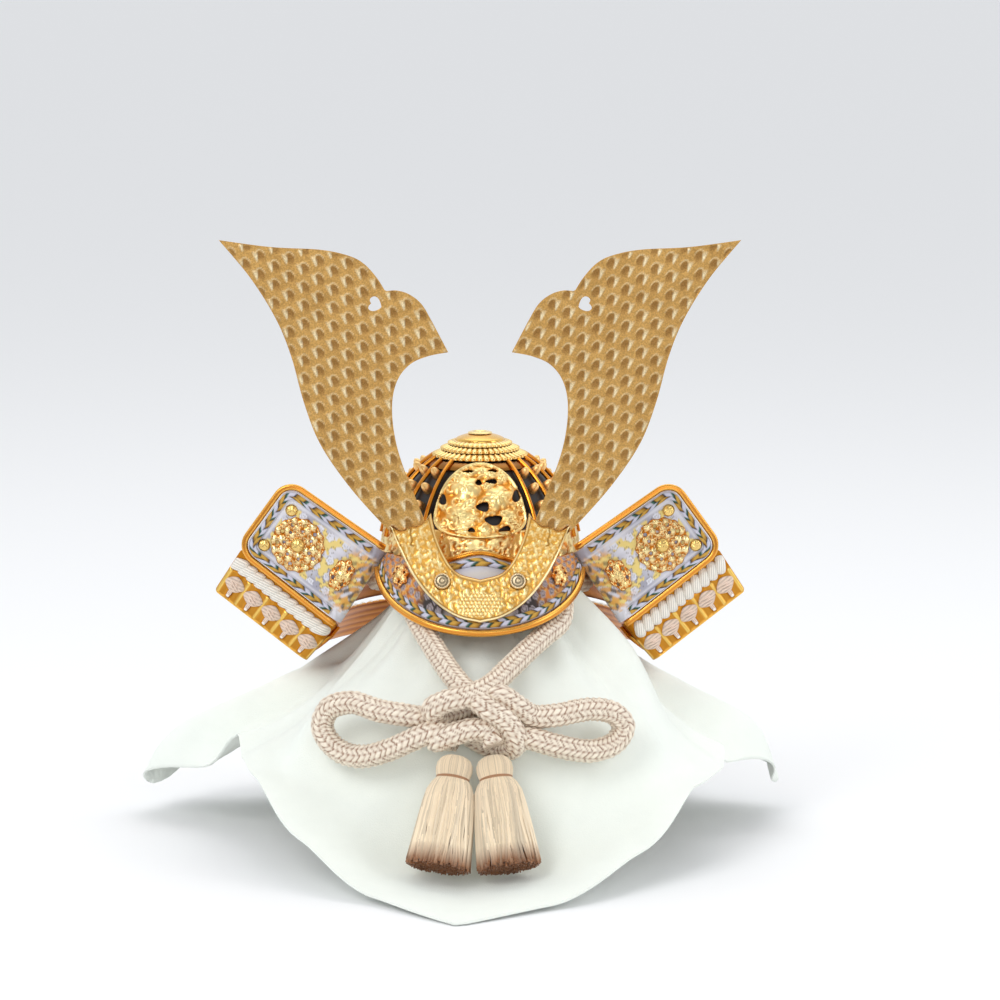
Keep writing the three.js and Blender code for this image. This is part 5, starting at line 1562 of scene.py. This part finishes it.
# Wing studs: along, up, radius, lift and rise; rosette rings: share of the radius, flowers, size, petals.
WING_STUDS = {
    "rosette_boss": (ROSETTE["along"], ROSETTE["up"], 3.7, 2.2, 2.1),
    "wing_stud_upper": (52.5, 31.5, 3.2, 0.35, 1.7),
    "wing_stud_lower": (53.6, 8.3, 3.2, 0.35, 1.7),
}
ROSETTE_RINGS = [(0.87, 15, 2.05, 3), (0.62, 10, 2.3, 4), (0.4, 7, 2.0, 3)]


def rosette(name, side):
    """The pierced round boss plate: rings of small flowers over curling stems about a middle flower, with
    a wavy rim and openings between."""
    radius = ROSETTE["radius"]
    holes = [(x, y, 1.0) for x, y in ring_of(10, 0.74, radius, 0.1)]
    holes += [(x, y, 0.85) for x, y in ring_of(7, 0.51, radius, 0.45)]
    flat, faces, depth = pierced_disc(radius, 0.36, lambda a: 0.972 + 0.028 * np.cos(14 * a), holes)
    stems = scattered((-radius, -radius), (radius, radius), 3.0, 61, 0.2)
    height = 0.35 * scrolls(flat, stems, 1.3, 0.4, 1.0)
    for share, count, size, lobes in ROSETTE_RINGS:
        for k in range(count):
            a = (k + 0.5 * (count % 3)) * TAU / count
            x, y = share * radius * math.cos(a), share * radius * math.sin(a)
            flower = petals(flat, x, y, size, lobes, a + k)
            height = np.maximum(height, (0.75 + 0.25 * math.sin(5 * k)) * flower)
    height = np.maximum(height, 0.9 * petals(flat, 0, 0, 4.4, 9))
    height = height * (0.4 + 0.6 * smooth(0, 0.45, depth))
    dome = 1.1 * np.clip(1 - (np.hypot(*flat.T) / radius) ** 2, 0, 1)
    place = laid_on(WING, side, ROSETTE["along"], ROSETTE["up"])
    # Painted shade in the relief's hollows and painted highlight on its tops.
    wall_piece(f"wing_rosette_{name}_openwork", "rosette_gilt", f"wing_rosette_{name}",
               place(flat, 0.7 + dome * 0.4 + 1.25 * height), place(flat, 0.35 + 0.2 * dome), faces,
               relief_shade_and_highlight(height, colour(190, 112, 30), colour(255, 236, 176), 0.05, 0.5), sharp=75)
    for stud, sizes in WING_STUDS.items():
        domed_stud(f"{stud}_{name}_flower", f"{stud}_{name}", side, *sizes)
    openwork(f"wing_ornament_{name}_openwork", "rosette_gilt", f"wing_ornament_{name}",
             laid_on(WING, side, 13.5, 20, 1.5), 5.9, 1.5, 71)


def domed_stud(name, replaces, side, along, up, radius, lift, rise):
    """A small flower-headed stud: a dome carved into five petals round a cross of four."""
    a = around(80)[:, None]
    share = np.linspace(1, 0.04, 14)[None, :]
    dome = np.sqrt(1 - 0.92 * share**2)
    carved = 0.2 * np.abs(np.cos(5 * a)) * bell(share - 0.75, 0.18)
    carved += 0.16 * np.cos(4 * a) * bell(share - 0.4, 0.14)
    height = lift + rise * (dome - dome.min()) / (1 - dome.min()) + carved
    height = np.hstack([np.full((80, 1), lift), height])
    r = radius * np.hstack([[[1.0]], share])
    place = laid_on(WING, side, along, up)
    rings = place(np.stack([r * np.cos(a), r * np.sin(a)], -1), height)
    middle = np.zeros(2)
    ring_piece(name, "rosette_gilt", replaces, rings, colour(240, 206, 128), place(middle, lift),
               place(middle, height[:, -1].mean()))


def lower_lame(name, side):
    """The gilt lame below the wing: a thin plate with upright bars, each on a low step, and a lip along its
    lower edge."""
    flat, faces, _ = panel_grid(LAME)
    x, y = flat.T
    bar = np.abs((x - LAME["first"]) % LAME["step"] - LAME["step"] / 2)
    ridge = smooth(1.05, 0.55, bar) * (y < 14.2) * (y > 0.8)
    height = np.maximum.reduce([ridge, smooth(4.6, 4.1, bar) * 0.28 * (y < 14), 0.7 * smooth(0.9, 0.4, y)])
    place = laid_on(LAME, side)
    # Painted shade in the relief's hollows and painted highlight on the bars' tops.
    wall_piece(f"lower_lame_{name}_gilt", "lame_gilt", f"lower_lame_{name}", place(flat, 0.9 * height),
               place(flat, -LAME["wall"]), faces,
               relief_shade_and_highlight(height, colour(206, 134, 36), colour(248, 208, 112), 0.1, 0.9), DEEP_GOLD)


def bundle(skin, place, middle, length, width, rise, lean, threads, tint, twist=0.0, power=3.0,
           cut=0.13, sides=32, rows=10):
    """A bundle of threads laid as a slanting pad, with u along it and v across, both from -1 to 1: its top
    is rise * sqrt(1 - r^2.6), lowered by the share cut in the grooves between threads, which lie where
    cos(pi * threads * (v + twist * u)) = -1. Its outline is |u|^power + |v|^power = 1."""
    a = around(sides)[:, None]
    ring = np.linspace(1, 0.02, rows)[None, :]
    squared = (np.abs(np.cos(a)) ** power + np.abs(np.sin(a)) ** power) ** (-1 / power)
    u, v = ring * np.cos(a) * squared, ring * np.sin(a) * squared
    grooves = 0.5 - 0.5 * np.cos(threads * math.pi * (v + twist * u))
    top = rise * np.sqrt(np.clip(1 - (ring * 0.995) ** 2.6, 0, 1)) * (1 - cut * grooves)
    flat = np.stack(tilted(u * length / 2, v * width / 2, lean), -1) + middle
    rings = place(flat, PAD_OFF + top)
    # Painted shade: the colour falls to 0.6 of itself in the grooves between the threads.
    skin.capped(rings, place(np.array(middle), PAD_OFF), place(np.array(middle), PAD_OFF + rise),
                mix(tint, tint * 0.6, grooves**1.5))


IVORY = colour(255, 250, 240)
PAD_OFF = 0.3


def lower_lacing(name, side):
    """The twisted lacing row: slanting overlapping ovals of threads along the lame's upper edge."""
    skin = Skin()
    on_lame = laid_on(LAME, side)

    def place(points, off):
        return on_lame(np.stack([np.clip(points[..., 0], 0.5, 59.9), points[..., 1]], -1), off)

    size, lean, twist = ((9.2, 5.6), 64, 0.2) if side > 0 else ((10.6, 6.2), 158, -0.3)
    for x in 3.5 + (LAME["length"] - 4.5) * (np.arange(LAME["twists"]) + 0.5) / LAME["twists"]:
        bundle(skin, place, (x, 18.0), *size, 4.0, math.radians(lean), 5, IVORY, twist)
    skin.make(f"lower_lacing_{name}_twists", "ivory_lacing", f"lower_lacing_{name}", sharp=75)


def lower_knits(name, side):
    """Five cross-knits: two crossed pads of threads over a short upright stitch and a small end."""
    place, pad = laid_on(LAME, side), colour(242, 218, 200)
    for i in range(LAME["knits"]):
        skin = Skin()
        x = LAME["first"] + LAME["step"] * i
        bundle(skin, place, (x, 4.3), 4.4, 2.4, 1.5, math.pi / 2, 3, pad)
        bundle(skin, place, (x, 8.6), 11.4, 8.2, 2.6, math.radians(8 * side), 5, pad, 0.15, 1.4, 0.3)
        bundle(skin, place, (x, 8.2), 8.2, 5.6, 3.3, math.radians(-16 * side), 4, pad, -0.15, 1.7, 0.3)
        bundle(skin, place, (x, 2.3), 1.9, 1.9, 1.7, 0.0, 1, colour(255, 250, 244))
        skin.make(f"lower_knit_{name}_{i + 1}_silk", "knit_cord", f"lower_knit_{name}_{i + 1}", sharp=75)


# ---------------------------------------------------------------- neck guard
NECK = {"from": 75, "to": 285, "wall": 1.4, "scales": 60, "twists": 46, "knits": 20,
        "degree": 1.5, "fall": 24.6}
NECK_UPPER = ((53.6, 57.6, 147), (76, 78, 113.5))
KNIT = colour(226, 196, 172)
NECK_LOWER = ((75.5, 77.5, 110), (91, 93, 91.5))


def on_neck(lame, turn, v, off=0.0):
    """A point of a neck lame: an oval ring whose half-width, half-depth and height run from its upper to its
    lower edge."""
    turn, v, off = np.broadcast_arrays(np.asarray(turn, float), v, off)
    top, low = np.array(lame[0], float), np.array(lame[1], float)
    size = top + (low - top) * v[..., None]
    a = np.radians(turn)
    wide, deep, z = np.moveaxis(size, -1, 0)
    return np.stack([(wide + off) * np.sin(a), -(deep + off) * np.cos(a), z + 0.5 * off], -1)


def neck_cut(turns):
    """Share of its full width that the lower lame has: its front ends are cut back in a curve,
    1 - 0.75 * exp(-degrees from the end / 7)."""
    ends = np.minimum(turns - NECK["from"], NECK["to"] - turns)
    return 1 - 0.75 * np.exp(-ends / 7)


def neck_guard():
    """Two gilt lames: rows of narrow scales outside, ribs inside."""
    turns = np.linspace(NECK["from"], NECK["to"], 361)[:, None]
    v = np.linspace(0, 1, 19)[None, :]
    part = (turns - NECK["from"]) / (NECK["to"] - NECK["from"])
    bars = smooth(0.15, 0.6, np.abs(np.sin(math.pi * part * NECK["scales"])))
    height = bars * (0.775 + 0.225 * np.cos(TAU * 3 * v))
    ribs = 0.35 * smooth(0.2, 0.8, np.abs(np.sin(math.pi * 5 * v))) + 0 * turns
    # Painted shade in the hollows and painted highlight on the tops of the outer scales and of the inner
    # ribs.
    tint = relief_shade_and_highlight(height.ravel(), colour(190, 106, 24), colour(240, 180, 78), 0.1, 1.0)
    inner_tint = relief_shade_and_highlight(ribs.ravel() * 2, colour(168, 88, 24), colour(222, 140, 48), 0.1, 1.0)
    for name, lame, low in (("upper", NECK_UPPER, v), ("lower", NECK_LOWER, v * neck_cut(turns))):
        outer = on_neck(lame, turns, low, 0.6 * height - 0.1)
        inner = on_neck(lame, turns, low, 0.2 - NECK["wall"] - 0.5 * ribs)
        wall_piece(f"neck_lame_{name}_scales", "lame_gilt", f"neck_lame_{name}", outer, inner,
                   grid_faces(361, 19), tint, inner_tint, sharp=50)


def neck_lacing():
    """The twisted lacing row and the row of cross-knits round the lower neck lame."""
    def place(points, off):
        return on_neck(NECK_LOWER, points[..., 0] / NECK["degree"], 0.5 - points[..., 1] / NECK["fall"], off)

    def spots(count, ends):
        low, high = NECK["from"] * NECK["degree"] + ends, NECK["to"] * NECK["degree"] - ends
        return low + (high - low) * (np.arange(count) + 0.5) / count

    lacing, knits = Skin(), Skin()
    for x in spots(NECK["twists"], 8):
        bundle(lacing, place, (x, 7.2), 9.8, 4.8, 3.9, math.radians(38), 5, IVORY, 0.5, sides=22, rows=7)
    for x in spots(NECK["knits"], 22):
        for hand, rise in ((-1, 1.9), (1, 2.0)):
            bundle(knits, place, (x + 1.4 * hand, -4.6), 6.2, 4.2, rise, math.radians(-18 * hand), 6, KNIT,
                   sides=20, rows=7)
        bundle(knits, place, (x, -8.0), 4.4, 2.4, 1.5, math.pi / 2, 3, KNIT, sides=16, rows=6)
    lacing.make("neck_lacing_twists", "ivory_lacing", "neck_lacing", sharp=75)
    knits.make("neck_knits_silk", "knit_cord", "neck_knits", sharp=75)


horn_stand()
neck_guard()
neck_lacing()
for name, side in SIDES.items():
    horn(name, side)
    horn_stud(name, side)
    wing(name, side)
    wing_trims(name, side)
    rosette(name, side)
    lower_lame(name, side)
    lower_lacing(name, side)
    lower_knits(name, side)
